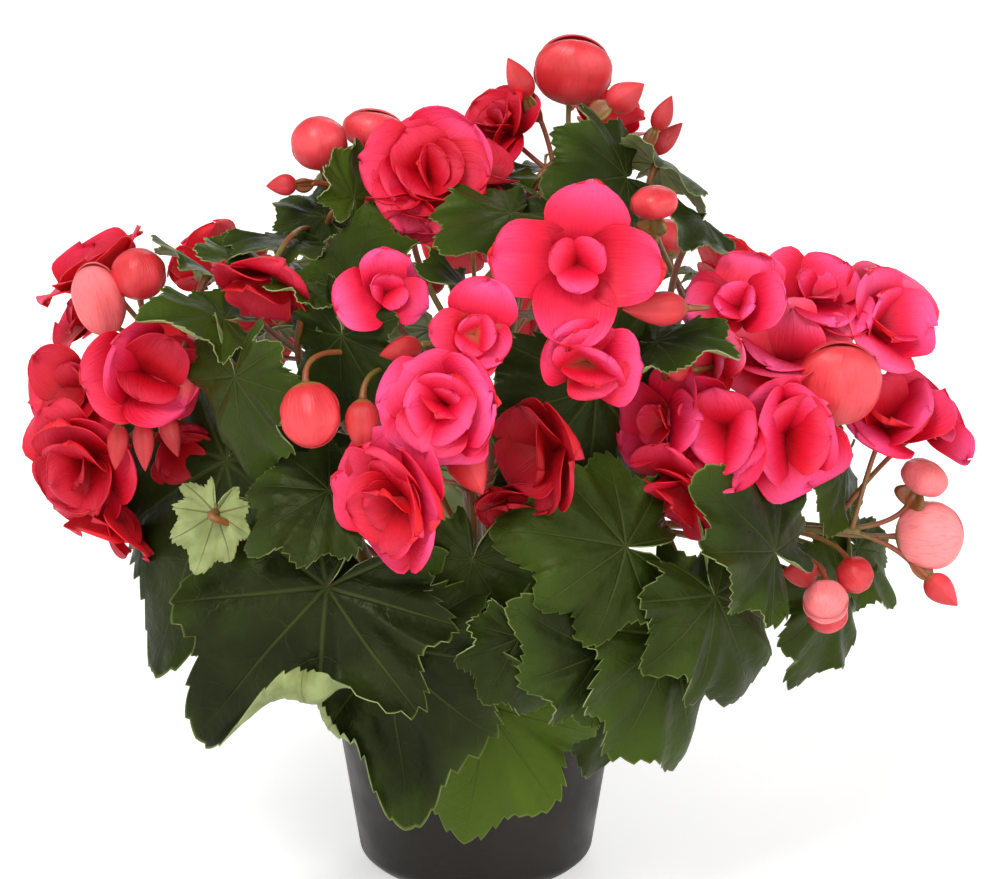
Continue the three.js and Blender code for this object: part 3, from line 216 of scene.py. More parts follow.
def layered(look, *layers):
    # the first colour, then by turns a share and the colour that it lays over what is there. A name stands
    # for a colour of the look
    colour, *rest = (shade(*look[each]) if isinstance(each, str) else each for each in layers)
    for share, over in zip(rest[::2], rest[1::2]):
        node = newNode("ShaderNodeMix", share)
        node.data_type = "RGBA"
        feedAll(node.inputs, {0: share, 6: colour, 7: over})
        colour = node.outputs[2]
    return colour


def grain(tree, scale, detail=3.0, stretch=None, coordinates="Object"):
    # a noise of that many lumps a metre, drawn out where stretch is given
    where = tree.nodes.new("ShaderNodeTexCoord").outputs[coordinates]
    if stretch:
        turn = tree.nodes.new("ShaderNodeMapping")
        feedAll(turn.inputs, {"Scale": stretch, "Vector": where})
        where = turn.outputs["Vector"]
    node = tree.nodes.new("ShaderNodeTexNoise")
    feedAll(node.inputs, {"Scale": scale, "Detail": detail, "Vector": where})
    return node.outputs["Fac"]


def spots(tree, scale, detail, *span):
    # the noise, mapped
    return mapped(grain(tree, scale, detail), *span)


def attribute(tree, name):
    node = tree.nodes.new("ShaderNodeAttribute")
    node.attribute_name = name
    return node.outputs["Fac"]


def pattern(tree):
    # the two coordinates of the piece's own pattern map
    parts = tree.nodes.new("ShaderNodeSeparateXYZ")
    feedAll(parts.inputs, {0: tree.nodes.new("ShaderNodeTexCoord").outputs["UV"]})
    return parts.outputs[0], parts.outputs[1]


def offMiddle(across):
    # 0 along the middle of a petal and 0.5 at its two sides
    return calc("ABSOLUTE", minus(across, 0.5))


def makeFinish(name, paint, look, *more):
    # a finish with the look's own numbers and a roughness that drifts between two of them, which `paint`
    # gives its colour and its relief
    finish = bpy.data.materials.new(name)
    finish.use_nodes = True
    tree = finish.node_tree
    colour, height = paint(tree, look, *more)
    bump = tree.nodes.new("ShaderNodeBump")
    feedAll(bump.inputs, {"Distance": look["relief"] * mm, "Height": height})
    values = look["skin"] | {"Base Color": colour, "Normal": bump.outputs[0]}
    if "rough" in look:
        scale, low, high, *detail = look["rough"]
        values["Roughness"] = mapped(grain(tree, scale, *detail), 0.3, 0.7, low, high)
    feedAll(tree.nodes["Principled BSDF"].inputs, values)
    return finish


# Veins: widths at foot and tip and the slant are in radii of the blade, side veins are counted per radius
veins = dict(foot=0.018, tip=0.005, sides=5.0, slant=1.1, wander=2.2, wanderScale=50.0)


def veinNet(tree):
    # In the flat blade, with the distance L along the nearest main vein and W beside it: the main vein is
    # where W is near 0, and side veins are where sides * (L - slant W) plus a noise is near n + 1/2
    x, y = (calc("DIVIDE", minus(each, 0.5), leafBlade["mapScale"]) for each in pattern(tree))
    radius = calc("SQRT", plus(times(x, x), times(y, y)))
    angle = calc("ARCTAN2", y, x)
    sector = 2 * pi / leafBlade["lobes"]
    off = minus(angle, times(sector, calc("ROUND", calc("DIVIDE", angle, sector))))
    ahead = times(radius, calc("COSINE", off))
    beside = calc("ABSOLUTE", times(radius, calc("SINE", off)))
    width = mapped(radius, 0.0, 1.0, veins["foot"], veins["tip"])
    main = minus(1.0, mapped(calc("DIVIDE", beside, width), 0.2, 1.0))
    main = times(main, mapped(radius, 0.4, 0.95, 1.0, 0.25))
    wander = times(grain(tree, veins["wanderScale"]), veins["wander"])
    phase = plus(wander, times(veins["sides"], minus(ahead, times(beside, veins["slant"]))))
    side = minus(1.0, mapped(offMiddle(calc("FRACT", phase)), 0.01, 0.05))
    return main, times(side, mapped(beside, 0.0, 0.2, 1.0, 0.2))


def strongest(main, side, mainShare, sideShare):
    return calc("MAXIMUM", times(main, mainShare), times(side, sideShare))


leafLook = dict(
    dark=(13, 17, 6), mid=(28, 34, 13), margin=(50, 66, 18), bright=(66, 84, 16), vein=(66, 74, 34),
    rim=(104, 118, 52), marginShare=0.7, veinShares=(0.42, 0.1), rimShare=0.55, sunkShares=(0.3, 0.12),
    rough=(90.0, 0.38, 0.54), relief=1.1, skin=gloss(0.16, (0.8, 0.9, 0.5)),
)
underLook = dict(
    green=(104, 114, 58), pale=(136, 146, 88), vein=(120, 98, 56), veinShares=(0.6, 0.4),
    rough=(200.0, 0.5, 0.66), relief=0.7, skin=dict(),
)


def leafPaint(tree, look):
    # dark in patches, greener towards the edge and where the tone is high, with paler veins and rim. The tone
    # is partly painted light: lit leaves have high tones, leaves that lie in shadow low ones
    (main, side), edge = veinNet(tree), attribute(tree, "edge")
    towardsEdge = times(mapped(edge, 0.45, 1.0), spots(tree, 22.0, 2.0, 0.42, 0.62))
    colour = layered(look, "dark", spots(tree, 30.0, 4.0, 0.42, 0.7), "mid",
                     times(towardsEdge, look["marginShare"]), "margin", attribute(tree, "tone"), "bright",
                     strongest(main, side, *look["veinShares"]), "vein",
                     times(mapped(edge, 0.98, 1.0), look["rimShare"]), "rim")
    pucker = plus(grain(tree, 110.0, 2.0), times(grain(tree, 420.0, 2.0), 0.25))
    return colour, minus(pucker, strongest(main, side, *look["sunkShares"]))


def leafUnderPaint(tree, look):
    # pale and matt, with raised brownish veins
    main, side = veinNet(tree)
    colour = layered(look, "green", spots(tree, 70.0, 3.0, 0.35, 0.65), "pale",
                     strongest(main, side, *look["veinShares"]), "vein")
    return colour, plus(times(grain(tree, 420.0), 0.3), main)


# A petal's tone near 0 is red, 0.5 is pink and 1 is coral. Below 0.55 the tone also lays painted shade, deep
# red, over the whole petal, for flowers that lie in shadow. deepShare is how strongly that shade and the
# painted shade at the foot show
petalLook = dict(
    pink=(214, 16, 60), light=(240, 78, 138), deep=(140, 3, 8), coral=(222, 32, 48), pale=(244, 112, 138),
    red=(206, 8, 34), redLight=(232, 50, 84), back=(216, 26, 38), backLight=(236, 62, 74),
    eye=(244, 176, 130), deepShare=0.9, streakShare=0.22, backStreakShare=0.18, rough=(300.0, 0.42, 0.56),
    relief=0.3, skin=gloss(0.28, (1.0, 0.7, 0.78)) | flesh(0.2, (1.0, 0.2, 0.2)),
)


def petalLines(tree):
    # fine lines that fan out from the foot, and the relief with a finer grain
    fan = grain(tree, 14.0, 4.0, (2.6, 0.28, 1.0), "UV")
    return fan, plus(fan, times(grain(tree, 900.0), 0.2))


def petalPaint(tree, look):
    # the inner face: light at the rim, deep red at the foot as painted shade in the flower's heart, and pale
    # in its heart where there is an eye
    (fan, height), tone = petalLines(tree), attribute(tree, "tone")
    along, cool, salmon = pattern(tree)[1], mapped(tone, 0.3, 0.6), mapped(tone, 0.5, 1.0)
    warm = layered(look, "red", cool, "pink", salmon, "coral")
    pale = layered(look, "redLight", cool, "light", salmon, "pale")
    # painted shade: deep red towards the foot, in the flower's heart, and over the whole petal where the tone
    # is low
    depth = calc("MINIMUM", plus(mapped(along, 0.55, 0.02), mapped(tone, 0.55, 0.0)), 1.0)
    depth = times(depth, mapped(fan, 0.3, 0.6, 0.86, 1.0))
    colour = layered(look, warm, mapped(along, 0.45, 1.05), pale, times(depth, look["deepShare"]), "deep",
                     times(mapped(fan, 0.5, 0.72), look["streakShare"]), "deep",
                     times(attribute(tree, "edge"), mapped(along, 0.5, 0.1)), "eye")
    return colour, height


def petalBackPaint(tree, look):
    # the outer face: a warmer red, paler along its middle, with painted shade, deep red, where the tone is
    # low
    fan, height = petalLines(tree)
    colour = layered(look, "back", mapped(offMiddle(pattern(tree)[0]), 0.4, 0.0, 0.0, 0.7), "backLight",
                     mapped(attribute(tree, "tone"), 0.4, 0.0), "deep",
                     times(mapped(fan, 0.5, 0.7), look["backStreakShare"]), "deep")
    return colour, height


# cheekShare is a painted highlight, sideShare painted shade at the sides
budLook = dict(
    red=(176, 14, 16), rose=(232, 66, 76), pale=(246, 132, 134), green=(130, 118, 56), line=(150, 12, 14),
    cheekShare=0.4, sideShare=0.6, lineShare=0.3, rough=(260.0, 0.36, 0.5), relief=0.2,
    skin=flesh(0.2, (1.0, 0.3, 0.2)),
)


def budPaint(tree, look):
    # fine lines run from foot to tip, with a painted highlight, a pale patch where a closed petal bulges,
    # painted shade, red, towards the sides, and a green foot
    (across, along), tone = pattern(tree), attribute(tree, "tone")
    lines = grain(tree, 16.0, 3.0, (2.4, 0.3, 1.0), "UV")
    # painted highlight: paler where a closed petal bulges, more so towards the tip, added to the bud's own
    # pale tone
    paintedHighlight = times(spots(tree, 70.0, 1.0, 0.4, 0.62), mapped(along, 0.1, 0.55))
    paleToneAndHighlight = calc("MINIMUM", plus(tone, times(paintedHighlight, look["cheekShare"])), 1.0)
    # painted shade: redder towards the sides, away from the middle of the skin
    colour = layered(look, "red", paleToneAndHighlight, "rose", mapped(tone, 0.6, 1.0), "pale",
                     mapped(offMiddle(across), 0.3, 0.5, 0.0, look["sideShare"]), "red",
                     mapped(lines, 0.5, 0.7, 0.0, look["lineShare"]), "line",
                     mapped(along, 0.12, 0.0), "green")
    return colour, lines


stalkLook = dict(
    red=(140, 58, 32), olive=(112, 100, 42), hull=(150, 122, 62), brown=(92, 50, 26), fleckShare=0.55,
    rough=(200.0, 0.34, 0.5), relief=0.5, skin=flesh(0.1),
)


def stalkPaint(tree, look, first, second, fleck):
    # two colours that drift into each other, the second where the tone is high, with small flecks
    drift = calc("MAXIMUM", spots(tree, 38.0, 2.0, 0.35, 0.65), attribute(tree, "tone"))
    flecks = spots(tree, 420.0, 2.0, 0.56, 0.72, 0.0, look["fleckShare"])
    colour = layered(look, first, drift, second, flecks, fleck)
    return colour, grain(tree, 260.0, 3.0, (1.0, 1.0, 0.2))


potLook = dict(
    body=(24, 22, 19), dust=(40, 37, 33), scuff=(60, 56, 51), dustShare=0.35, scuffShare=0.3,
    rough=(70.0, 0.36, 0.52, 5.0), relief=0.12, skin=gloss(0.25, (1.0, 0.93, 0.85)),
)


def potPaint(tree, look):
    # satin dark plastic with a fine moulded grain, a little dust, and light scuffs, most near the foot
    dust = spots(tree, 26.0, 6.0, 0.46, 0.74, 0.0, look["dustShare"])
    scuffs = mapped(grain(tree, 120.0, 6.0, (1.0, 1.0, 9.0)), 0.62, 0.72, 0.0, look["scuffShare"])
    worn = times(scuffs, mapped(attribute(tree, "edge"), 0.3, 0.0, 0.3, 1.0))
    colour = layered(look, "body", dust, "dust", worn, "scuff")
    return colour, grain(tree, 1500.0, 2.0)


soilLook = dict(
    dark=(34, 24, 18), brown=(88, 64, 44), crumb=(190, 184, 170), crumbShare=0.8, relief=3.0,
    skin=dict(Roughness=0.95),
)


def soilPaint(tree, look):
    # dark peat with brown lumps and a few pale crumbs, evenly matt
    lumps = grain(tree, 260.0, 8.0)
    crumbs = spots(tree, 700.0, 2.0, 0.7, 0.76, 0.0, look["crumbShare"])
    colour = layered(look, "dark", mapped(lumps, 0.36, 0.62), "brown", crumbs, "crumb")
    return colour, lumps


# Where the seven leafy stems run, from the soil over a bend to the top

stems = {
    "leftFront": ((-20, -10, 0), (-45, -24, 140), (-74, -44, 205)),
    "leftBack": ((-20, 14, 0), (-40, 22, 160), (-58, 4, 245)),
    "front": ((4, -24, 0), (2, -42, 135), (-4, -66, 200)),
    "middle": ((2, 2, 0), (6, 4, 180), (20, -14, 272)),
    "rightFront": ((24, -12, 0), (48, -34, 135), (76, -54, 200)),
    "rightBack": ((24, 14, 0), (50, 20, 150), (84, 8, 232)),
    "back": ((0, 30, 0), (-2, 52, 130), (-4, 70, 205)),
}
stemForm = dict(fromHeight=65, radius=4.1, thinning=1.3, sides=18, tone=0.2)


def leaf(at, tip, droop=0.5, fold=0.4, tone=0.12, roll=0, grow=1, rise=0.3, curl=None, start=0.6):
    # the blade's foot and tip, its bend along and across, its tone from 0, dark, to 1, bright, partly painted
    # shade that is low for leaves in shadow, a turn about its length in degrees, its size, how high its stalk
    # bows, and where and how its edge rolls
    return dict(at=at, tip=tip, droop=droop, fold=fold, tone=tone, roll=roll, grow=grow, rise=rise, curl=curl,
                start=start)


# Leaves by stem, from the lowest up. A low tone is partly painted shade, for leaves that lie in shadow

leaves = {"leftFront": [
    leaf((-52, -114, 146), (-101, -106, 88), 0.5, 0.6, roll=-10, tone=0.05, curl=(40, 26, 2.7), grow=0.95,
         start=0.55),
    leaf((-93, -100, 170), (-104, -106, 137), 0.3, 0.5, roll=152, tone=0.2, grow=0.62),
    leaf((-93, -62, 181), (-116, -54, 112), 0.4, roll=-28, grow=1.12),
    leaf((-51, -112, 181), (-81, -122, 164), 0.4),
    leaf((-98, 2, 192), (-124, 8, 162), 0.6, 0.3),
    leaf((-85, -98, 220), (-81, -94, 187), 0.3, 0.3, tone=0.3, grow=1.2),
    leaf((-90, -88, 239), (-112, -96, 241), 0.4, tone=0.4, grow=1.25),
    leaf((-46, -104, 236), (-46, -94, 206), 0.4, tone=0.15, grow=1.15),
], "leftBack": [
    leaf((-100, 42, 168), (-128, 58, 128)),
    leaf((-92, 22, 215), (-124, 36, 196)),
    leaf((-78, 58, 240), (-104, 82, 226)),
    leaf((-57, -94, 250), (-69, -104, 253), 0.3, 0.3, tone=0.45, grow=1.2),
    leaf((-43, -90, 252), (-37, -70, 272), 0.3, 0.3, tone=0.3, grow=1.15),
    leaf((-99, -52, 251), (-115, -62, 262), 0.3, 0.5, roll=-20, tone=0.5, grow=1.15),
    leaf((-80, -66, 257), (-96, -78, 260), tone=0.4, grow=1.2, roll=-25),
    leaf((-69, -60, 265), (-82, -76, 262), grow=1.3, roll=-15),
    leaf((-56, -44, 271), (-74, -28, 275), 0.5, 0.3, tone=0.1),
    leaf((-44, -62, 280), (-44, -46, 298), 0.2, 0.2, roll=70, tone=0.6),
    leaf((-42, 34, 280), (-64, 50, 276), 0.5, 0.3),
], "front": [
    leaf((5, -92, 95), (-3, -86, 40), 0.3, 0.2, rise=0.7, tone=0.85),
    leaf((46, -110, 120), (15, -126, 141), 0.4, tone=0.1),
    leaf((-31, -108, 122), (-23, -97, 61), 0.5, 0.5, tone=0.05, curl=(-50, 45, 2.6), start=0.62),
    leaf((17, -116, 128), (22, -109, 97), 0.4, 0.5),
    leaf((0, -106, 154), (-6, -98, 121), 0.3, 0.3, tone=0.2),
    leaf((55, -110, 160), (10, -122, 170), 0.4, tone=0.25),
], "middle": [
    leaf((45, -84, 213), (40, -73, 166), 0.4, grow=1.3),
    leaf((-1, -86, 249), (-17, -104, 261), 0.3, 0.3, tone=0.15),
    leaf((34, -68, 271), (45, -48, 280), 0.3, 0.3),
    leaf((14, -78, 276), (-10, -99, 266), 0.4, 0.3, tone=0.35),
    leaf((30, 30, 282), (42, 58, 276), 0.5, 0.3),
    leaf((8, -28, 284), (0, -4, 288), 0.4, tone=0.6),
    leaf((57, -46, 286), (33, -69, 285), 0.6, tone=0.2, roll=-42, grow=1.2),
], "rightFront": [
    leaf((52, -82, 89), (44, -74, 62), 0.4, 0.8, rise=0.7, tone=0.2),
    leaf((72, -102, 124), (81, -90, 69), 0.4, tone=0.3),
    leaf((143, -34, 124), (128, -38, 84), roll=25, tone=0.35),
    leaf((153, -16, 135), (167, -8, 111), roll=30, tone=0.5),
    leaf((88, -104, 140), (103, -92, 94), 0.5, 0.5, tone=0.25),
    leaf((110, -98, 155), (82, -108, 184), 0.3, 0.3),
    leaf((66, -96, 232), (92, -112, 230), tone=0.15),
], "rightBack": [
    leaf((86, 62, 160), (118, 84, 120)),
    leaf((145, -30, 172), (134, -46, 150), tone=0.3),
    leaf((104, 12, 190), (144, 22, 164)),
    leaf((72, 76, 208), (96, 104, 184)),
    leaf((95, 35, 238), (126, 48, 226)),
    leaf((86, -48, 270), (76, -70, 262), 0.6, 0.5),
    leaf((70, -26, 289), (82, -52, 281), 0.8, roll=-20),
], "back": [
    leaf((-20, 96, 142), (-26, 122, 92)),
    leaf((30, 96, 168), (42, 128, 126)),
    leaf((-60, 86, 176), (-84, 116, 138)),
    leaf((-20, 104, 204), (-26, 134, 168)),
    leaf((34, 86, 248), (46, 114, 232)),
    leaf((-28, 84, 252), (-42, 114, 238)),
]}


def bloom(form, name, at, face, size, tone=0.5, grow=1, eye=0, turn=None, scatter=1):
    # an open flower of the node "bloom" + name: its foot, the way it faces, and its size
    return dict(form=form, name="bloom" + name, at=at, face=face, size=size, tone=tone, grow=grow, eye=eye,
                turn=at[0] if turn is None else turn, scatter=scatter)


def bud(form, at, face, width, length, tone=0.3, hull=0, gap=1.5):
    # a closed flower, on a green ovary where hull is 1, with a gap between the valves of a pod
    return dict(form=form, at=at, face=face, width=width, length=length, tone=tone, hull=hull, gap=gap)


# Flower sprays and the flowers on them. The seeds follow the order of the rows. A bloom's low tone is partly
# painted shade, for flowers that lie in shadow

sprays = {"top": dict(stem="middle", hub=(38, -4, 293), flowers=[
    bud("pod", (37, -3, 311), (0.1, -0.3, 0.95), 29, 27, tone=0.25, gap=2.6),
    bud("slim", (25, -8, 306), (-0.45, -0.1, 0.85), 10, 26, tone=0.25, hull=1),
    bud("slim", (46, -14, 306), (0.8, -0.2, 0.55), 12, 24, tone=0.5, hull=1),
    bud("slim", (68, -5, 294), (0.4, 0, 0.9), 8, 22, tone=0.1, hull=1),
    bud("slim", (70, 1, 291), (0.7, 0.1, 0.7), 8, 17, tone=0.1),
    bloom("double", "TopLeft", (13, -7, 299), (-0.5, -0.6, 0.6), 20, tone=0.4, grow=0.85),
    bloom("cup", "TopRight", (51, 8, 296), (0.25, 0.2, 0.9), 19),
]), "upperLeft": dict(stem="leftBack", hub=(-44, -28, 268), flowers=[
    bud("round", (-57, -38, 289), (-0.1, -0.2, 1), 20, 20, tone=0.5),
    bud("pod", (-40, -24, 289), (0.15, -0.3, 1), 23, 22, tone=0.6, hull=1),
    bud("slim", (-61, -46, 284), (-1, -0.2, -0.05), 8, 17, hull=1),
    bloom("double", "UpperLeft", (-18, -52, 287), (0.2, -0.85, 0.4), 21, tone=0.43),
    bloom("cup", "UpperLeft", (-22, -58, 279), (-0.1, -0.6, -0.8), 15, tone=0.4),
    bloom("cup", "UpperMiddle", (-6, -34, 283), (0.45, -0.2, 0.85), 21, tone=0.35),
    bloom("cup", "LeftBell", (-73, -88, 256), (-0.35, -0.45, -0.8), 23, tone=0.35, grow=0.85),
]), "centre": dict(stem="middle", height=225, hub=(38, -64, 246), flowers=[
    bloom("wheel", "Centre", (37, -108, 262), (0.05, -1, 0.15), 30, turn=1.45, scatter=0.3, grow=0.93),
    bloom("cup", "CentreLow", (41, -110, 228), (0.15, -0.95, -0.1), 19, eye=0.22, grow=0.86),
    bud("slim", (76, -106, 246), (-1, -0.25, 0.02), 12, 24, tone=0.45),
    bud("round", (66, -88, 271), (-0.1, -0.2, 1), 16, 17, tone=0.45, hull=1),
]), "middleLeft": dict(stem="front", hub=(-14, -86, 222), flowers=[
    bloom("open", "Side", (-31, -106, 251), (0.3, -0.85, 0.35), 17, tone=0.55, grow=0.9),
    bud("slim", (-18, -114, 234), (-0.9, -0.45, -0.15), 9, 16),
    bloom("open", "Eye", (1, -122, 239), (0.1, -0.95, 0.25), 17, eye=0.25, grow=0.95),
    bloom("double", "Middle", (-8, -128, 216), (-0.15, -0.97, 0.1), 21, tone=0.55, grow=0.98),
    bud("slim", (-38, -121, 216), (0, -0.3, -0.95), 12, 20),
    bud("pod", (-58, -118, 221), (0.15, -0.35, -0.9), 20, 23, tone=0.35),
]), "middleLow": dict(stem="front", height=165, hub=(-2, -90, 186), flowers=[
    bloom("double", "Low", (-22, -128, 184), (-0.62, -0.74, -0.2), 24, tone=0.45),
    bud("slim", (-5, -122, 200), (0.4, -0.6, -0.65), 14, 22),
    bloom("cup", "Shade", (30, -106, 195), (-0.75, -0.6, -0.1), 25, tone=0.15, grow=0.84),
    bloom("cup", "Shade", (16, -102, 178), (-0.1, -0.7, -0.7), 16, tone=0.15, grow=0.84),
]), "left": dict(stem="leftFront", hub=(-110, -46, 210), flowers=[
    bloom("cup", "LeftTop", (-138, -36, 243), (-0.5, -0.1, 0.85), 20, grow=1.1, tone=0.4),
    bloom("open", "LeftTop", (-146, -30, 230), (-0.8, -0.3, 0.4), 17, grow=1.1, tone=0.4),
    bud("round", (-124, -60, 243), (0, -0.2, 1), 19, 19),
    bud("pod", (-137, -58, 229), (-0.15, -0.3, 0.95), 18, 29, tone=0.8),
    bloom("cup", "LeftCup", (-122, -74, 217), (0.4, -0.88, 0.2), 22, tone=0.42, grow=0.95),
    bloom("open", "LeftOuter", (-148, -46, 206), (-0.5, -0.8, 0.2), 20, grow=1.05, tone=0.3),
    bloom("double", "LeftLow", (-145, -50, 179), (-0.4, -0.85, -0.25), 20, grow=1.1, tone=0.3),
    bud("slim", (-132, -68, 196), (-0.1, -0.2, -1), 8, 17),
    bud("slim", (-123, -70, 198), (0.05, -0.2, -1), 8, 19),
    bud("slim", (-115, -67, 200), (0.3, -0.2, -1), 8, 17),
    bud("slim", (-107, -72, 225), (-0.05, -0.2, -1), 12, 26),
    bloom("cup", "LeftFoot", (-138, -42, 160), (-0.4, -0.4, -0.8), 20, grow=1.1, tone=0.3),
    bloom("cup", "LeftInner", (-114, -46, 184), (0.2, -0.75, -0.4), 15, tone=0.1),
    bloom("double", "UnderLeaves", (-84, -72, 153), (-0.1, -0.85, -0.5), 20, tone=0.2),
]), "right": dict(stem="rightBack", hub=(112, -34, 214), flowers=[
    bloom("open", "RightTop", (99, -68, 239), (-0.3, -0.8, 0.5), 21, tone=0.65, turn=0.5),
    bloom("open", "RightBack", (128, -42, 238), (0.2, -0.6, 0.75), 20, grow=1.1, tone=0.6),
    bloom("cup", "RightOuter", (152, -36, 226), (0.5, -0.7, 0.5), 19, grow=1.15, tone=0.7),
    bud("pod", (135, -62, 196), (0.05, -0.3, 0.95), 31, 33, tone=0.6),
    bloom("cup", "RightInner", (116, -54, 216), (-0.1, -0.7, 0.65), 17, grow=1.35, tone=0.8),
    bud("slim", (79, -90, 221), (-0.8, -0.5, 0.1), 9, 13),
    bloom("cup", "RightSmall", (89, -80, 221), (-0.4, -0.8, 0.3), 12, tone=0.8),
]), "rightMiddle": dict(stem="rightFront", hub=(94, -68, 198), flowers=[
    bloom("cup", "RightCup", (93, -92, 200), (-0.4, -0.88, 0.1), 22, grow=0.92),
    bloom("cup", "RightMiddle", (115, -80, 196), (0.1, -0.95, 0.1), 23, grow=0.95),
    bloom("open", "RightSide", (72, -86, 200), (-0.75, -0.6, 0.2), 18, grow=1.1),
    bloom("cup", "RightUnder", (77, -86, 178), (-0.5, -0.65, -0.5), 18, tone=0.35),
]), "rightLow": dict(stem="rightFront", height=150, hub=(150, -40, 148), flowers=[
    bloom("cup", "RightLow", (158, -40, 188), (0.2, -0.6, 0.75), 17, grow=1.3),
    bloom("open", "RightEnd", (176, -26, 185), (0.6, -0.6, 0.5), 16, grow=1.2, tone=0.6),
    bud("round", (170, -34, 158), (0.4, -0.2, 0.85), 18, 19, tone=0.85, hull=1),
    bud("pod", (166, -32, 144), (0.95, -0.25, 0.1), 26, 26, tone=1),
    bud("slim", (172, -36, 134), (0.7, -0.2, -0.65), 11, 24, tone=0.5, hull=1),
    bud("slim", (130, -65, 138), (-0.9, -0.35, 0.1), 11, 15, tone=0.1),
    bud("round", (133, -73, 135), (-0.15, -0.85, -0.5), 16, 17, tone=0.85),
    bud("round", (143, -58, 141), (0.3, -0.6, -0.6), 13, 14, tone=0.05),
    bud("round", (135, -60, 129), (0, -0.3, -0.95), 15, 16, tone=0.05),
]), "backLeft": dict(stem="leftBack", height=200, hub=(-84, 54, 216), flowers=[
    bloom("double", "BackLeft", (-110, 60, 236), (-0.6, 0.5, 0.6), 22, grow=0.82),
    bloom("open", "BackLeftLow", (-86, 94, 208), (-0.4, 0.85, 0.3), 24),
    bloom("cup", "BackLeftSide", (-122, 62, 200), (-0.9, 0.4, -0.1), 20),
    bud("round", (-96, 80, 232), (-0.3, 0.6, 0.7), 17, 18, hull=1),
]), "backMiddle": dict(stem="back", hub=(2, 98, 226), flowers=[
    bloom("double", "Back", (-2, 122, 240), (0, 0.9, 0.4), 24),
    bloom("open", "BackLow", (24, 126, 206), (0.3, 0.92, 0.1), 23),
    bud("slim", (-16, 112, 226), (-0.6, 0.6, -0.4), 11, 20),
    bud("round", (18, 100, 250), (0.3, 0.3, 0.9), 17, 17, hull=1),
]), "backRight": dict(stem="rightBack", height=190, hub=(94, 62, 222), flowers=[
    bloom("double", "BackRight", (108, 84, 230), (0.5, 0.6, 0.6), 23, grow=0.75),
    bloom("cup", "BackRightSide", (126, 68, 206), (0.8, 0.5, 0), 21),
    bud("round", (84, 92, 238), (-0.1, 0.6, 0.8), 17, 18),
])}


# The plant's own shapes

def squareFrame(face):
    # the three axes that carry +Z to the face: I + K + K^2 / (1 + z), with K the cross product with Z x face
    x, y, z = unit(np.array(face, float))
    spin = np.array([[0, 0, x], [0, 0, y], [-x, -y, 0]])
    return np.eye(3) + spin + spin @ spin / (1 + z)


def stemPath(name, steps=40):
    root, bend, top = stems[name]
    return bezier([[root[0], root[1], stemForm["fromHeight"]], bend, top], steps)


def placeOnStem(name, height):
    # the lowest point of the path that is at least so high
    path = stemPath(name)
    return path[np.argmax(path[:, 2] >= height)]


def stalkRadius(form):
    # r + foot * exp(-s / footLength) + top * exp(-(1 - s) / topLength), for s from 0 to 1
    s = np.linspace(0, 1, form["steps"] + 1)
    radius = form["radius"] + form["foot"] * exp(-s / form["footLength"])
    return radius + form["top"] * exp(-(1 - s) / form["topLength"])


# Blades. `body`, `oval`, `point` and `pointWidth` shape the outline, and the sinus is the notch at the foot
leafBlade = dict(
    body=0.67, oval=0.13, point=0.2, pointWidth=0.4, lobes=9, lobeDepth=0.075, teeth=58, toothDepth=0.05,
    toothSteps=5, rows=13, sinus=172, sinusDepth=0.7, waveDepth=0.08, quilting=0.02, thickness=0.45,
    tipLength=1.07, grow=1.08, mapScale=0.4,
)
leafStalk = dict(
    radius=1.35, foot=0.55, footLength=0.06, top=0.5, topLength=0.04, steps=26, sides=12, tone=0.25,
    lowest=109, belowTop=4, bendShare=0.3, under=0.4,
)


def bladeAxes(leaf):
    # along to the tip, outward from the plant through the upper face turned by `roll`, and across
    origin = np.array(leaf["at"], float)
    along = unit(np.array(leaf["tip"]) - origin)
    outward = np.array([origin[0], origin[1], (origin[2] - 150) * 0.6 + 50])
    normal = unit(outward - along * (outward @ along))
    roll = math.radians(leaf["roll"])
    normal = normal * math.cos(roll) + np.cross(along, normal) * math.sin(roll)
    return origin, along, np.cross(normal, along), normal


def bladeOutline(angle, reach, draw):
    # R(a) = body + oval cos a + point exp(-(a / pointWidth)^2) + lobeDepth cos 9a, a little uneven, with
    # saw teeth that fade with reach^8, drawn in near the sinus
    form, lobes = leafBlade, leafBlade["lobes"]
    outline = form["body"] + form["oval"] * cos(angle)
    outline = outline + form["point"] * exp(-(angle / form["pointWidth"]) ** 2)
    outline = outline + form["lobeDepth"] * cos(lobes * angle + 0.3 * draw[2] * sin(2 * angle))
    outline = outline + 0.025 * draw[0] * sin(2 * angle) + 0.02 * draw[1] * sin(5 * angle + 3 * draw[2])
    turns = form["teeth"] * np.abs(angle) / (2 * pi) + 0.35 * sin(3 * angle + 2 * draw[0])
    tooth = np.mod(turns, 1) * (1 + 0.45 * sin(7 * angle + 4 * draw[1]))
    outline = outline + form["toothDepth"] * (0.5 - tooth) * reach ** 8
    return outline * (1 - form["sinusDepth"] * ease(math.radians(152), math.radians(176), np.abs(angle)))


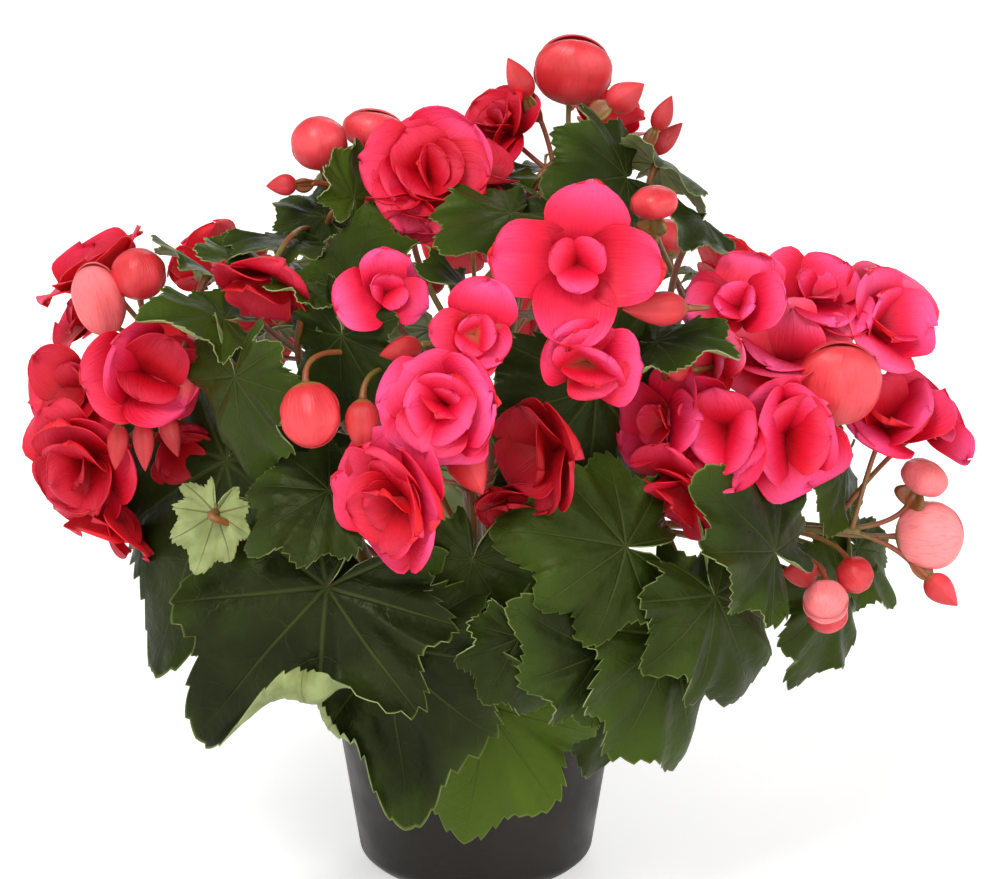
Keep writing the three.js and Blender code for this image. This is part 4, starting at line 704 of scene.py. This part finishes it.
def bladePoints(leaf, angle, reach, draw):
    # The flat place (rR cos a, rR sin a) is bent into an arc of curvature `droop` along the blade and of
    # `fold` across it. Its height is quilted between the veins and waved with r^3 towards the edge. Past
    # the share `start` of R it rolls up or down into an arc, by the angle, spread and turn of `curl`
    form, lobes = leafBlade, leafBlade["lobes"]
    origin, along, across, normal = bladeAxes(leaf)
    droop, fold, start = leaf["droop"], leaf["fold"], leaf["start"]
    chord = np.linalg.norm(np.array(leaf["tip"]) - origin)
    size = form["grow"] * leaf["grow"] * chord / (form["tipLength"] * math.sin(droop / 2) / (droop / 2))
    outline = bladeOutline(angle, reach, draw)
    radius = reach * outline
    height = -form["quilting"] * radius * cos(lobes * angle) * (1.2 - 0.4 * reach)
    height = height + 0.012 * radius * draw[3] * sin(3 * lobes * angle * 0.5 + 9 * reach)
    ripple = sin(5 * angle + leaf["at"][0]) + 0.45 * sin(13 * angle + 5 * draw[4])
    height = height + form["waveDepth"] * reach ** 3 * ripple
    middle, span, turn = leaf["curl"] or (180 * draw[5], 50, 0.8 * draw[4])
    away = np.angle(exp(1j * (angle - math.radians(middle))))
    bend = turn * exp(-(away / math.radians(span)) ** 2)
    past = np.maximum(0, reach - start) * outline
    rolled = bend * past / (0.3 * outline)
    radius = np.minimum(reach, start) * outline + past * np.sinc(rolled / pi)
    height = height + 0.5 * past * rolled * np.sinc(0.5 * rolled / pi) ** 2
    length, width = radius * cos(angle), radius * sin(angle)
    height = height + (cos(fold * width) - 1) / fold
    turned = droop * length
    x = sin(turned) / droop + height * sin(turned)
    z = (cos(turned) - 1) / droop + height * cos(turned)
    level = droop / 2
    ahead = x * math.cos(level) - z * math.sin(level)
    above = x * math.sin(level) + z * math.cos(level)
    beside = sin(fold * width) / fold
    place = size * (ahead[..., None] * along + beside[..., None] * across + above[..., None] * normal)
    flat = reach * outline
    u, v = (0.5 + form["mapScale"] * flat * wave(angle) for wave in (cos, sin))
    return origin + place, u, v


def leafSurfaces(stemName, number):
    # a blade in rings that are closer near the edge, and its stalk from the stem to under the blade's foot
    leaf = leaves[stemName][number]
    rng = np.random.default_rng(1000 * list(leaves).index(stemName) + number)
    reach = sin(0.5 * pi * np.linspace(0, 1, leafBlade["rows"]))[:, None]
    sinus = math.radians(leafBlade["sinus"])
    columns = leafBlade["teeth"] * leafBlade["toothSteps"] + 1
    angle = np.linspace(-sinus, sinus, columns)[None, :]
    points, u, v = bladePoints(leaf, angle + 0 * reach, reach + 0 * angle, rng.uniform(-1, 1, 6))
    blade = surface(points, u, v, "blade", leaf["tone"], reach)
    near = bladePoints(leaf, np.array([0.0, pi / 2]), np.array([0.1, 0.1]), np.zeros(6))[0]
    origin = np.array(leaf["at"], float)
    normal = unit(np.cross(near[0] - origin, near[1] - origin))
    form, lowest, count = leafStalk, leafStalk["lowest"], len(leaves[stemName])
    highest = stems[stemName][2][2] - form["belowTop"]
    start = placeOnStem(stemName, lowest + (highest - lowest) * number / (count - 1))
    end = origin - normal * form["under"]
    length = np.linalg.norm(end - start)
    slant = unit(np.array([*(unit((end - start)[:2])), 1]))
    route = bezier([start, start + slant * leaf["rise"] * length,
                    end - form["bendShare"] * length * normal, end], form["steps"])
    return [blade, tubeSurface(route, stalkRadius(form), form["sides"], form["tone"])]


# Petals. A ring's numbers: how many, length and width as shares of the bloom's size, the angle from the
# axis at the foot, how far it turns on, and its lift up the axis in millimetres
petalRings = dict(
    wheel=[(4, 1.06, 1.02, 68, 20, 0), (3, 0.46, 0.5, 30, 44, 1.6)],
    open=[(2, 1.1, 1.35, 66, 24, 0), (2, 1.0, 1.05, 56, 30, 0.6), (3, 0.58, 0.66, 30, 40, 1.8)],
    double=[(3, 1.12, 1.6, 60, 34, 0), (3, 1.0, 1.4, 44, 36, 1.0), (3, 0.8, 1.1, 26, 36, 2.0),
               (2, 0.56, 0.8, 8, 40, 3.0)],
    cup=[(2, 1.12, 1.7, 50, 36, 0), (2, 1.02, 1.5, 36, 40, 0.8), (2, 0.86, 1.3, 22, 36, 1.6)],
)
petalSheet = dict(
    thickness=0.4, rows=16, columns=15, widest=0.6, cup=0.42, ruffle=0.075, crease=0.02, grow=1.03,
    scatter=1.3,
)


def petalPoints(length, width, opening, curl, lift, turn, draw):
    # The arc's slope from the axis is A(s) = opening + curl s + flick s^5, so it runs out by the integral
    # of sin A and up by that of cos A. Its half-width is that of an egg, w(s) = W sqrt(1 - ((widest - s)
    # / span)^2), a little uneven. It is cupped inward by cup w^2 / width, ruffled with s^2, and creased
    # along its middle
    widest = petalSheet["widest"]
    s = spaced(petalSheet["rows"])
    side = sin(0.5 * pi * np.linspace(-1, 1, petalSheet["columns"]))[None, :]
    slope = math.radians(opening) + math.radians(curl) * s + 0.5 * draw[0] * s ** 5
    step = np.diff(s, prepend=0)
    middle = 0.5 * (slope + np.concatenate([slope[:1], slope[:-1]]))
    out = length * np.cumsum(step * sin(middle))
    up = length * np.cumsum(step * cos(middle))
    span = np.where(s < widest, widest, 1 - widest)
    half = 0.5 * width * np.sqrt(np.clip(1 - ((widest - s) / span) ** 2, 0, 1))
    half = half * (1 + 0.05 * sin(9 * s + 6 * draw[1]))
    s, slope, out, up, half = (each[:, None] for each in (s, slope, out, up, half))
    w = half * side
    ruffle = petalSheet["ruffle"] * length * s ** 2 * (
        sin(2.6 * side + 5 * draw[1]) + 0.5 * sin(7 * side + 9 * draw[2] + 3 * s) * s)
    out = out * (1 + 0.03 * s ** 4 * sin(6 * side + 7 * draw[3]))
    crease = petalSheet["crease"] * length * exp(-(side / 0.22) ** 2) * sin(pi * s)
    inward = petalSheet["cup"] * w ** 2 / width - crease + ruffle
    radial = out - inward * cos(slope)
    height = up + inward * sin(slope) + lift
    place = np.stack([radial * math.cos(turn) - w * math.sin(turn),
                      radial * math.sin(turn) + w * math.cos(turn), height], -1)
    return place, 0.5 + 0.5 * side, s


def bloomSurfaces(flower, number):
    # rings of petals, each petal a little off its place, size and slope by its own five draws
    rng = np.random.default_rng(7000 + number)
    axes = squareFrame(flower["face"])
    size = flower["size"] * petalSheet["grow"] * flower["grow"]
    scatter = petalSheet["scatter"] * flower["scatter"]
    found = []
    for ringNumber, (count, length, width, opening, curl, lift) in enumerate(petalRings[flower["form"]]):
        for i in range(count):
            draw = rng.uniform(-1, 1, 5)
            turn = flower["turn"] + 2 * pi * (i + 0.2 * scatter * draw[3]) / count
            turn = turn + ringNumber * (pi / count + 0.4 * scatter)
            points, u, v = petalPoints(
                size * length * (1 + 0.1 * scatter * draw[4]), size * width * (1 + 0.1 * scatter * draw[2]),
                opening + 10 * scatter * draw[1], curl + 12 * scatter * draw[0], lift, turn, draw)
            tone = flower["tone"] - 0.05 * ringNumber + 0.07 * draw[2]
            eye = flower["eye"] if ringNumber else 0
            found.append(surface(points @ axes.T + np.array(flower["at"]), u, v, "petal", tone, eye))
    return found


# Closed flowers: two cupped valves, or a skin in one. `wide` and `long` are shares of the table's width and
# length, and `flat` is the depth as a share of the width
valveForms = dict(pod=dict(flat=0.6), round=dict(flat=0.9, gap=0.25))
valveSheet = dict(wide=1.04, rows=21, columns=25, reach=100, thickness=0.5)
budForm = dict(
    wide=1.05, long=1.02, flat=0.7, point=0.7, blunt=0.85, seam=0.07, seamWidth=0.16, rows=25, columns=33,
)
hullForm = dict(
    back=0.1, wide=0.9, long=0.5, core=0.34, wing=0.66, sharp=0.35, tone=0.3, rows=17, columns=43,
    petalsFrom=0.32, petalsLong=0.68,
)
bractForm = dict(length=7, width=0.6, lean=35, curl=20, tone=0.5)
sunkFoot = dict(closed=0.5, open=0.2)


def roundAxis(foot, axis, along, forward, aside):
    # foot + along * axis + forward * f + aside * g, with f and g square to the axis and to each other
    reference = np.array([0, 0, 1]) if abs(axis[1]) > 0.8 else np.array([0, 1, 0])
    f = unit(np.cross(axis, reference))
    return foot + along[..., None] * axis + forward[..., None] * f + aside[..., None] * np.cross(axis, f)


def budSurface(foot, axis, width, length, tone):
    # A closed skin round the axis. At the share h of its length it is width / 2 * sin(pi h^point)^blunt
    # wide, less the share seam * exp(-(sin t / seamWidth)^2) at two seams
    h, t = spaced(budForm["rows"])[:, None], around(budForm["columns"])
    spread = np.clip(sin(pi * h ** budForm["point"]), 0, 1) ** budForm["blunt"]
    seams = budForm["seam"] * exp(-(sin(t) / budForm["seamWidth"]) ** 2)
    radius = 0.5 * width * spread * (1 - seams)
    points = roundAxis(foot, axis, h * length, radius * cos(t), budForm["flat"] * radius * sin(t))
    return surface(points, 2 * t / pi, h, "bud", tone)


def valveSurfaces(foot, axis, width, length, gap, flat, tone):
    # Two cupped halves that face each other. At the share h of the length one is w(h) = width / 2 *
    # (4 h (1 - h))^0.5 wide, and lies at (w sin f, flat w cos f + gap h^2) for f from -100 to 100 degrees,
    # with small waves of 0.03 w sin 9h across and 0.04 w sin 5f in depth
    h = spaced(valveSheet["rows"])[:, None]
    f = np.radians(np.linspace(-valveSheet["reach"], valveSheet["reach"], valveSheet["columns"]))[None, :]
    half = 0.5 * width * np.clip(4 * h * (1 - h), 0, 1) ** 0.5
    found = []
    for way in (-1, 1):
        beside = way * half * sin(f) * (1 + 0.03 * sin(9 * h + way))
        across = way * (flat * half * cos(f) + gap * h ** 2 + 0.04 * half * sin(5 * f + way))
        points = roundAxis(foot, axis, h * length, beside, across)
        found.append(surface(points, 0.5 + 0.5 * f / f.max(), h, "valve", tone, np.abs(f / f.max()) ** 3))
    return found


def hullSurface(foot, axis, width, length):
    # a three-winged ovary: radius width / 2 * sin(pi h)^0.6 * (core + wing exp(-(sin(1.5 t) / sharp)^2))
    h, t = spaced(hullForm["rows"])[:, None], around(hullForm["columns"])
    wings = hullForm["core"] + hullForm["wing"] * exp(-(sin(1.5 * t) / hullForm["sharp"]) ** 2)
    radius = 0.5 * width * np.clip(sin(pi * h), 0, 1) ** 0.6 * wings
    points = roundAxis(foot, axis, h * length, radius * cos(t), radius * sin(t))
    return surface(points, t / pi, h, "stalk", hullForm["tone"])


def closedSurfaces(flower):
    # a bud or two valves, which stand on an ovary where the flower has a hull
    axis = unit(np.array(flower["face"], float))
    foot = np.array(flower["at"], float)
    width, length, tone = flower["width"], flower["length"], flower["tone"]
    found = []
    if flower["hull"]:
        found.append(hullSurface(foot - axis * hullForm["back"] * length, axis,
                                 hullForm["wide"] * width, hullForm["long"] * length))
        foot, length = foot + axis * hullForm["petalsFrom"] * length, hullForm["petalsLong"] * length
    foot = foot - axis * sunkFoot["closed"]
    if flower["form"] == "slim":
        return found + [budSurface(foot, axis, budForm["wide"] * width, budForm["long"] * length, tone)]
    form = valveForms[flower["form"]]
    gap = form.get("gap", flower["gap"])
    return found + valveSurfaces(foot, axis, valveSheet["wide"] * width, length, gap, form["flat"], tone)


def bractSurface(foot, axis, turn):
    # a small cupped scale that leans from its stalk
    length = bractForm["length"]
    points, u, v = petalPoints(length, bractForm["width"] * length, bractForm["lean"], bractForm["curl"], 0,
                               turn, np.zeros(5))
    return surface(points @ squareFrame(axis).T + foot, u, v, "bract", bractForm["tone"])


# A spray's main stalk, and the stalks that fork from it to each flower
mainStalk = dict(
    radius=1.75, thinning=0.25, steps=50, sides=14, tone=0.1, offStem=3.2, riseShare=0.4,
)
flowerStalk = dict(
    radius=1.0, foot=0.5, footLength=0.05, top=0.55, topLength=0.07, steps=24, sides=10, tone=0.15,
    firstFork=0.3, lastFork=0.97, bendShare=0.35,
)


def spraySurfaces(name):
    # a main stalk from its stem to the hub, and forks in the order of the flowers' heights
    spray = sprays[name]
    hub = np.array(spray["hub"], float)
    if "height" in spray:
        start = placeOnStem(spray["stem"], spray["height"])
        outward = unit(np.append((hub - start)[:2], 0))
        start = start + outward * mainStalk["offStem"]
    else:
        path = stemPath(spray["stem"], 80)
        start, outward = path[-1], unit(path[-1] - path[-2])
    rise = start + outward * mainStalk["riseShare"] * np.linalg.norm(hub - start)
    main, fine = (bezier([start, rise, hub], steps) for steps in (mainStalk["steps"], 1000))
    share = np.linspace(0, 1, len(main))
    found = [tubeSurface(main, mainStalk["radius"] * (1 - mainStalk["thinning"] * share), mainStalk["sides"],
                         mainStalk["tone"])]
    form, spread = flowerStalk, flowerStalk["lastFork"] - flowerStalk["firstFork"]
    flowers = sorted(spray["flowers"], key=lambda flower: flower["at"][2])
    for number, flower in enumerate(flowers):
        along = form["firstFork"] + spread * number / (len(flowers) - 1)
        fork = fine[int(1000 * along)]
        axis = unit(np.array(flower["face"], float))
        foot = np.array(flower["at"], float) - (axis * sunkFoot["open"] if "name" in flower else 0)
        before = foot - axis * form["bendShare"] * np.linalg.norm(foot - fork)
        route = bezier([fork, before, foot], form["steps"])
        found.append(tubeSurface(route, stalkRadius(form), form["sides"], form["tone"]))
        if number % 2:
            found.append(bractSurface(fork, unit(route[2] - route[0]), along * 40))
        if "name" not in flower:
            found += closedSurfaces(flower)
    return found


leafTop = makeFinish("leafTop", leafPaint, leafLook)
leafUnder = makeFinish("leafUnderside", leafUnderPaint, underLook)
petal = makeFinish("petal", petalPaint, petalLook)
petalBack = makeFinish("petalBack", petalBackPaint, petalLook)
budSkin = makeFinish("bud", budPaint, budLook)
redStalk = makeFinish("redStalk", stalkPaint, stalkLook, "red", "olive", "brown")
greenHull = makeFinish("hull", stalkPaint, stalkLook, "hull", "olive", "red")
potFinish = makeFinish("pot", potPaint, potLook)
soilFinish = makeFinish("soil", soilPaint, soilLook)
print("finishes made")


# Leaves: for each leafy stem one piece of blades, and one of the stem and the leaf stalks

for stemName in leaves:
    path = stemPath(stemName)
    thick = stemForm["radius"] - stemForm["thinning"] * np.linspace(0, 1, len(path))
    parts = [tubeSurface(path, thick, stemForm["sides"], stemForm["tone"])]
    for number in range(len(leaves[stemName])):
        parts += leafSurfaces(stemName, number)
    nodes = ["leaves_" + stemName]
    makePiece("leafBlades_" + stemName, parts, {"blade": leafTop, "underside": leafUnder}, nodes,
              leafBlade["thickness"], 1)
    makePiece("leafStalks_" + stemName, parts, {"stalk": redStalk}, nodes)
print("leaves made")


# Sprays: the forked stalks with the buds in one piece, the valves and bracts in another

for name in sprays:
    parts = spraySurfaces(name)
    nodes = ["spray_" + name]
    makePiece("spray_stalks_" + name, parts, {"bud": budSkin, "stalk": redStalk}, nodes)
    makePiece("spray_shells_" + name, parts, {"valve": budSkin, "bract": greenHull}, nodes,
              valveSheet["thickness"])
print("sprays made")


# Open blooms

bunches = {}
for number, flower in enumerate(each for spray in sprays.values() for each in spray["flowers"]):
    if "name" in flower:
        bunches.setdefault(flower["name"], []).extend(bloomSurfaces(flower, number))
for name, parts in bunches.items():
    makePiece("petals_" + name, parts, {"petal": petal, "back": petalBack}, [name],
              petalSheet["thickness"], 1)
print("blooms made:", len(bunches))


# Pot and soil

# `corners` are the lengths by which the profile's corners are rounded, from the foot over the lip and down
potForm = dict(
    height=105, foot=47.5, taper=0.154, wall=1.5, lipHeight=12, lipStep=3, lipFlare=0.6, bevel=4, floor=1.8,
    notchWidth=9, notchHeight=3, notches=8, sides=192,
    corners=[0.5, 2.5, 0.7, 0.7, 0.6, 0.6, 0.7, 0.7, 1.5], cornerSteps=5,
)


def potRadius(z):
    return potForm["foot"] + potForm["taper"] * z


def roundedProfile(corners, radii):
    # each corner replaced by a quadratic Bezier arc that starts and ends the given length away from it
    corners = np.array(corners, float)
    found = [corners[:1]]
    for before, corner, after, radius in zip(corners[:-2], corners[1:-1], corners[2:], radii):
        found.append(bezier([corner + unit(before - corner) * radius, corner,
                             corner + unit(after - corner) * radius], potForm["cornerSteps"]))
    return np.concatenate(found + [corners[-1:]])


def potSurface():
    # a profile (radius, height) turned about the axis, with the foot's edge raised at the notches. Only the
    # start of the profile, the outer foot, takes part in that
    top, wall, lip = potForm["height"], potForm["wall"], potForm["height"] - potForm["lipHeight"]
    step, floor, foot, bevel = potForm["lipStep"], potForm["floor"], potForm["foot"], potForm["bevel"]
    edge = potRadius(lip) + step + potForm["lipFlare"]
    outer = [(0, 0), (foot - bevel, 0), (potRadius(bevel), bevel), (potRadius(lip), lip),
             (potRadius(lip) + step, lip), (edge, top)]
    inner = [(edge - wall, top), (potRadius(lip) + step - wall, lip + wall),
             (potRadius(lip) - wall, lip + wall), (potRadius(floor) - wall, floor), (0, floor)]
    profile = roundedProfile(outer + inner, potForm["corners"])
    r, z = profile[:, 0][:, None], profile[:, 1][:, None]
    t = around(potForm["sides"] + 1)
    pitch = 2 * pi / potForm["notches"]
    away = np.abs(np.mod(t, pitch) - pitch / 2) * foot
    notch = potForm["notchWidth"]
    lift = potForm["notchHeight"] * (1 - ease(0.42 * notch, 0.5 * notch, away))
    nearFoot = ease(foot - 10, foot - 6, r)
    outerFoot = np.arange(len(profile)) < 2 * (potForm["cornerSteps"] + 1) + 2
    height = np.maximum(z, lift * nearFoot * outerFoot[:, None])
    points = np.stack([r * cos(t), r * sin(t), height + 0 * t], -1)
    return surface(points[:, ::-1], t / (2 * pi), z / top, "pot", 0, z / top)


soilForm = dict(
    level=90.5, mound=4.2, lumps=0.4, waves=46, rates=(0.15, 1.9), seed=5, gap=0.4, edgeHeight=88, foot=2.5,
    rings=60, sides=180,
)


def soilSurface():
    # a mound z = level + mound (1 - r^2) + lumps * (1 - r^6 / 2), with r the share of the pot's inner radius
    # and the lumps a sum of sin(rate * distance along a direction + phase) / (1 + rate), closed underneath
    form = soilForm
    rng = np.random.default_rng(form["seed"])
    r = np.linspace(0, 1, form["rings"])[:, None]
    t = around(form["sides"] + 1)
    heights = (form["edgeHeight"], form["foot"])
    inside, corner = (potRadius(z) - potForm["wall"] - form["gap"] for z in heights)
    x, y = inside * r * cos(t), inside * r * sin(t)
    lumps = 0
    for wave in range(form["waves"]):
        along, phase = rng.uniform(0, 2 * pi, 2)
        rate = rng.uniform(*form["rates"])
        lumps = lumps + sin(rate * (x * math.cos(along) + y * math.sin(along)) + phase) / (1 + rate)
    z = form["level"] + form["mound"] * (1 - r ** 2) + form["lumps"] * lumps * (1 - 0.5 * r ** 6)
    ring = np.stack([cos(t[0]), sin(t[0]), 0 * t[0]], -1)
    side = np.stack([ring * radius + [0, 0, form["foot"]] for radius in (corner, 0)])
    points = np.concatenate([np.stack([x, y, z], -1), side])
    return surface(points, t / (2 * pi), np.zeros((len(points), 1)), "soil")


makePiece("pot_shell", [potSurface()], {"pot": potFinish}, ["pot"])
makePiece("soil_mix", [soilSurface()], {"soil": soilFinish}, ["soil"])
print("pot and soil made")


# Stage, lights and camera, in metres

floorSheet = dict(
    radius=30, rise=12, rings=30, sides=96, first=0.02, spread=3, steepness=12, colour=0.8, roughness=0.9,
    glow=(0.5, 0.8), glowReach=(0.3, 1.6),
)
lampAim = (0, 0, 0.2)
lamps = dict(
    key=dict(place=(-0.5, -1.1, 1.5), width=0.8, power=23),
    fill=dict(place=(1.2, -1.2, 0.8), width=1.0, power=7),
    front=dict(place=(0.0, -1.7, 0.45), width=0.7, power=4),
    back=dict(place=(0.3, 1.6, 1.3), width=1.0, power=7),
)
worldStrength = 0.3
view = dict(aim=(0.010, 0.0, 0.176), elevation=12, distance=0.952, lens=85, sensor=36)


def paperFinish():
    # pale paper with a painted glow that grows away from the plant, so that it fades out behind
    finish = bpy.data.materials.new("paper")
    finish.use_nodes = True
    tree = finish.node_tree
    length = tree.nodes.new("ShaderNodeVectorMath")
    length.operation = "LENGTH"
    feedAll(length.inputs, {0: tree.nodes.new("ShaderNodeTexCoord").outputs["Object"]})
    feedAll(tree.nodes["Principled BSDF"].inputs, {
        "Base Color": [floorSheet["colour"]] * 3 + [1], "Roughness": floorSheet["roughness"],
        "Emission Color": (1, 1, 1, 1),
        "Emission Strength": mapped(length.outputs["Value"], *floorSheet["glowReach"], *floorSheet["glow"]),
    })
    return finish


def makeFloor():
    # a round sheet whose rings have the radius R t^3 and rise by H t^12, so that its rim turns up all round
    form, turn = floorSheet, around(floorSheet["sides"] + 1)
    t = np.linspace(form["first"], 1, form["rings"])[:, None]
    radius = form["radius"] * t ** form["spread"]
    height = form["rise"] * t ** form["steepness"] + 0 * turn
    points = np.stack([radius * cos(turn), radius * sin(turn), height], -1)
    mesh = bpy.data.meshes.new("floor")
    mesh.from_pydata(points.reshape(-1, 3).tolist(), [], gridFaces(form["rings"], form["sides"] + 1).tolist())
    mesh.materials.append(paperFinish())
    floor = link("floor", mesh)


def makeLamp(name, place, width, power):
    light = bpy.data.lights.new(name, "AREA")
    light.shape = "DISK"
    light.size = width
    light.energy = power
    lamp = link(name, light)
    lamp.location = place
    lamp.rotation_euler = (Vector(lampAim) - Vector(place)).to_track_quat("-Z", "Y").to_euler()


makeFloor()
for name, lamp in lamps.items():
    makeLamp(name, **lamp)
world = bpy.data.worlds.new("studio")
world.use_nodes = True
feedAll(world.node_tree.nodes["Background"].inputs, {"Color": (1, 1, 1, 1), "Strength": worldStrength})
bpy.context.scene.world = world
bpy.context.scene.view_settings.view_transform = "Standard"

tilt = math.radians(view["elevation"])
camera = bpy.data.cameras.new("camera")
camera.lens = view["lens"]
camera.sensor_width = view["sensor"]
viewer = link("camera", camera)
towards = Vector((0, math.cos(tilt), -math.sin(tilt)))
viewer.location = Vector(view["aim"]) - towards * view["distance"]
viewer.rotation_euler = towards.to_track_quat("-Z", "Y").to_euler()
bpy.context.scene.camera = viewer
print("stage set")
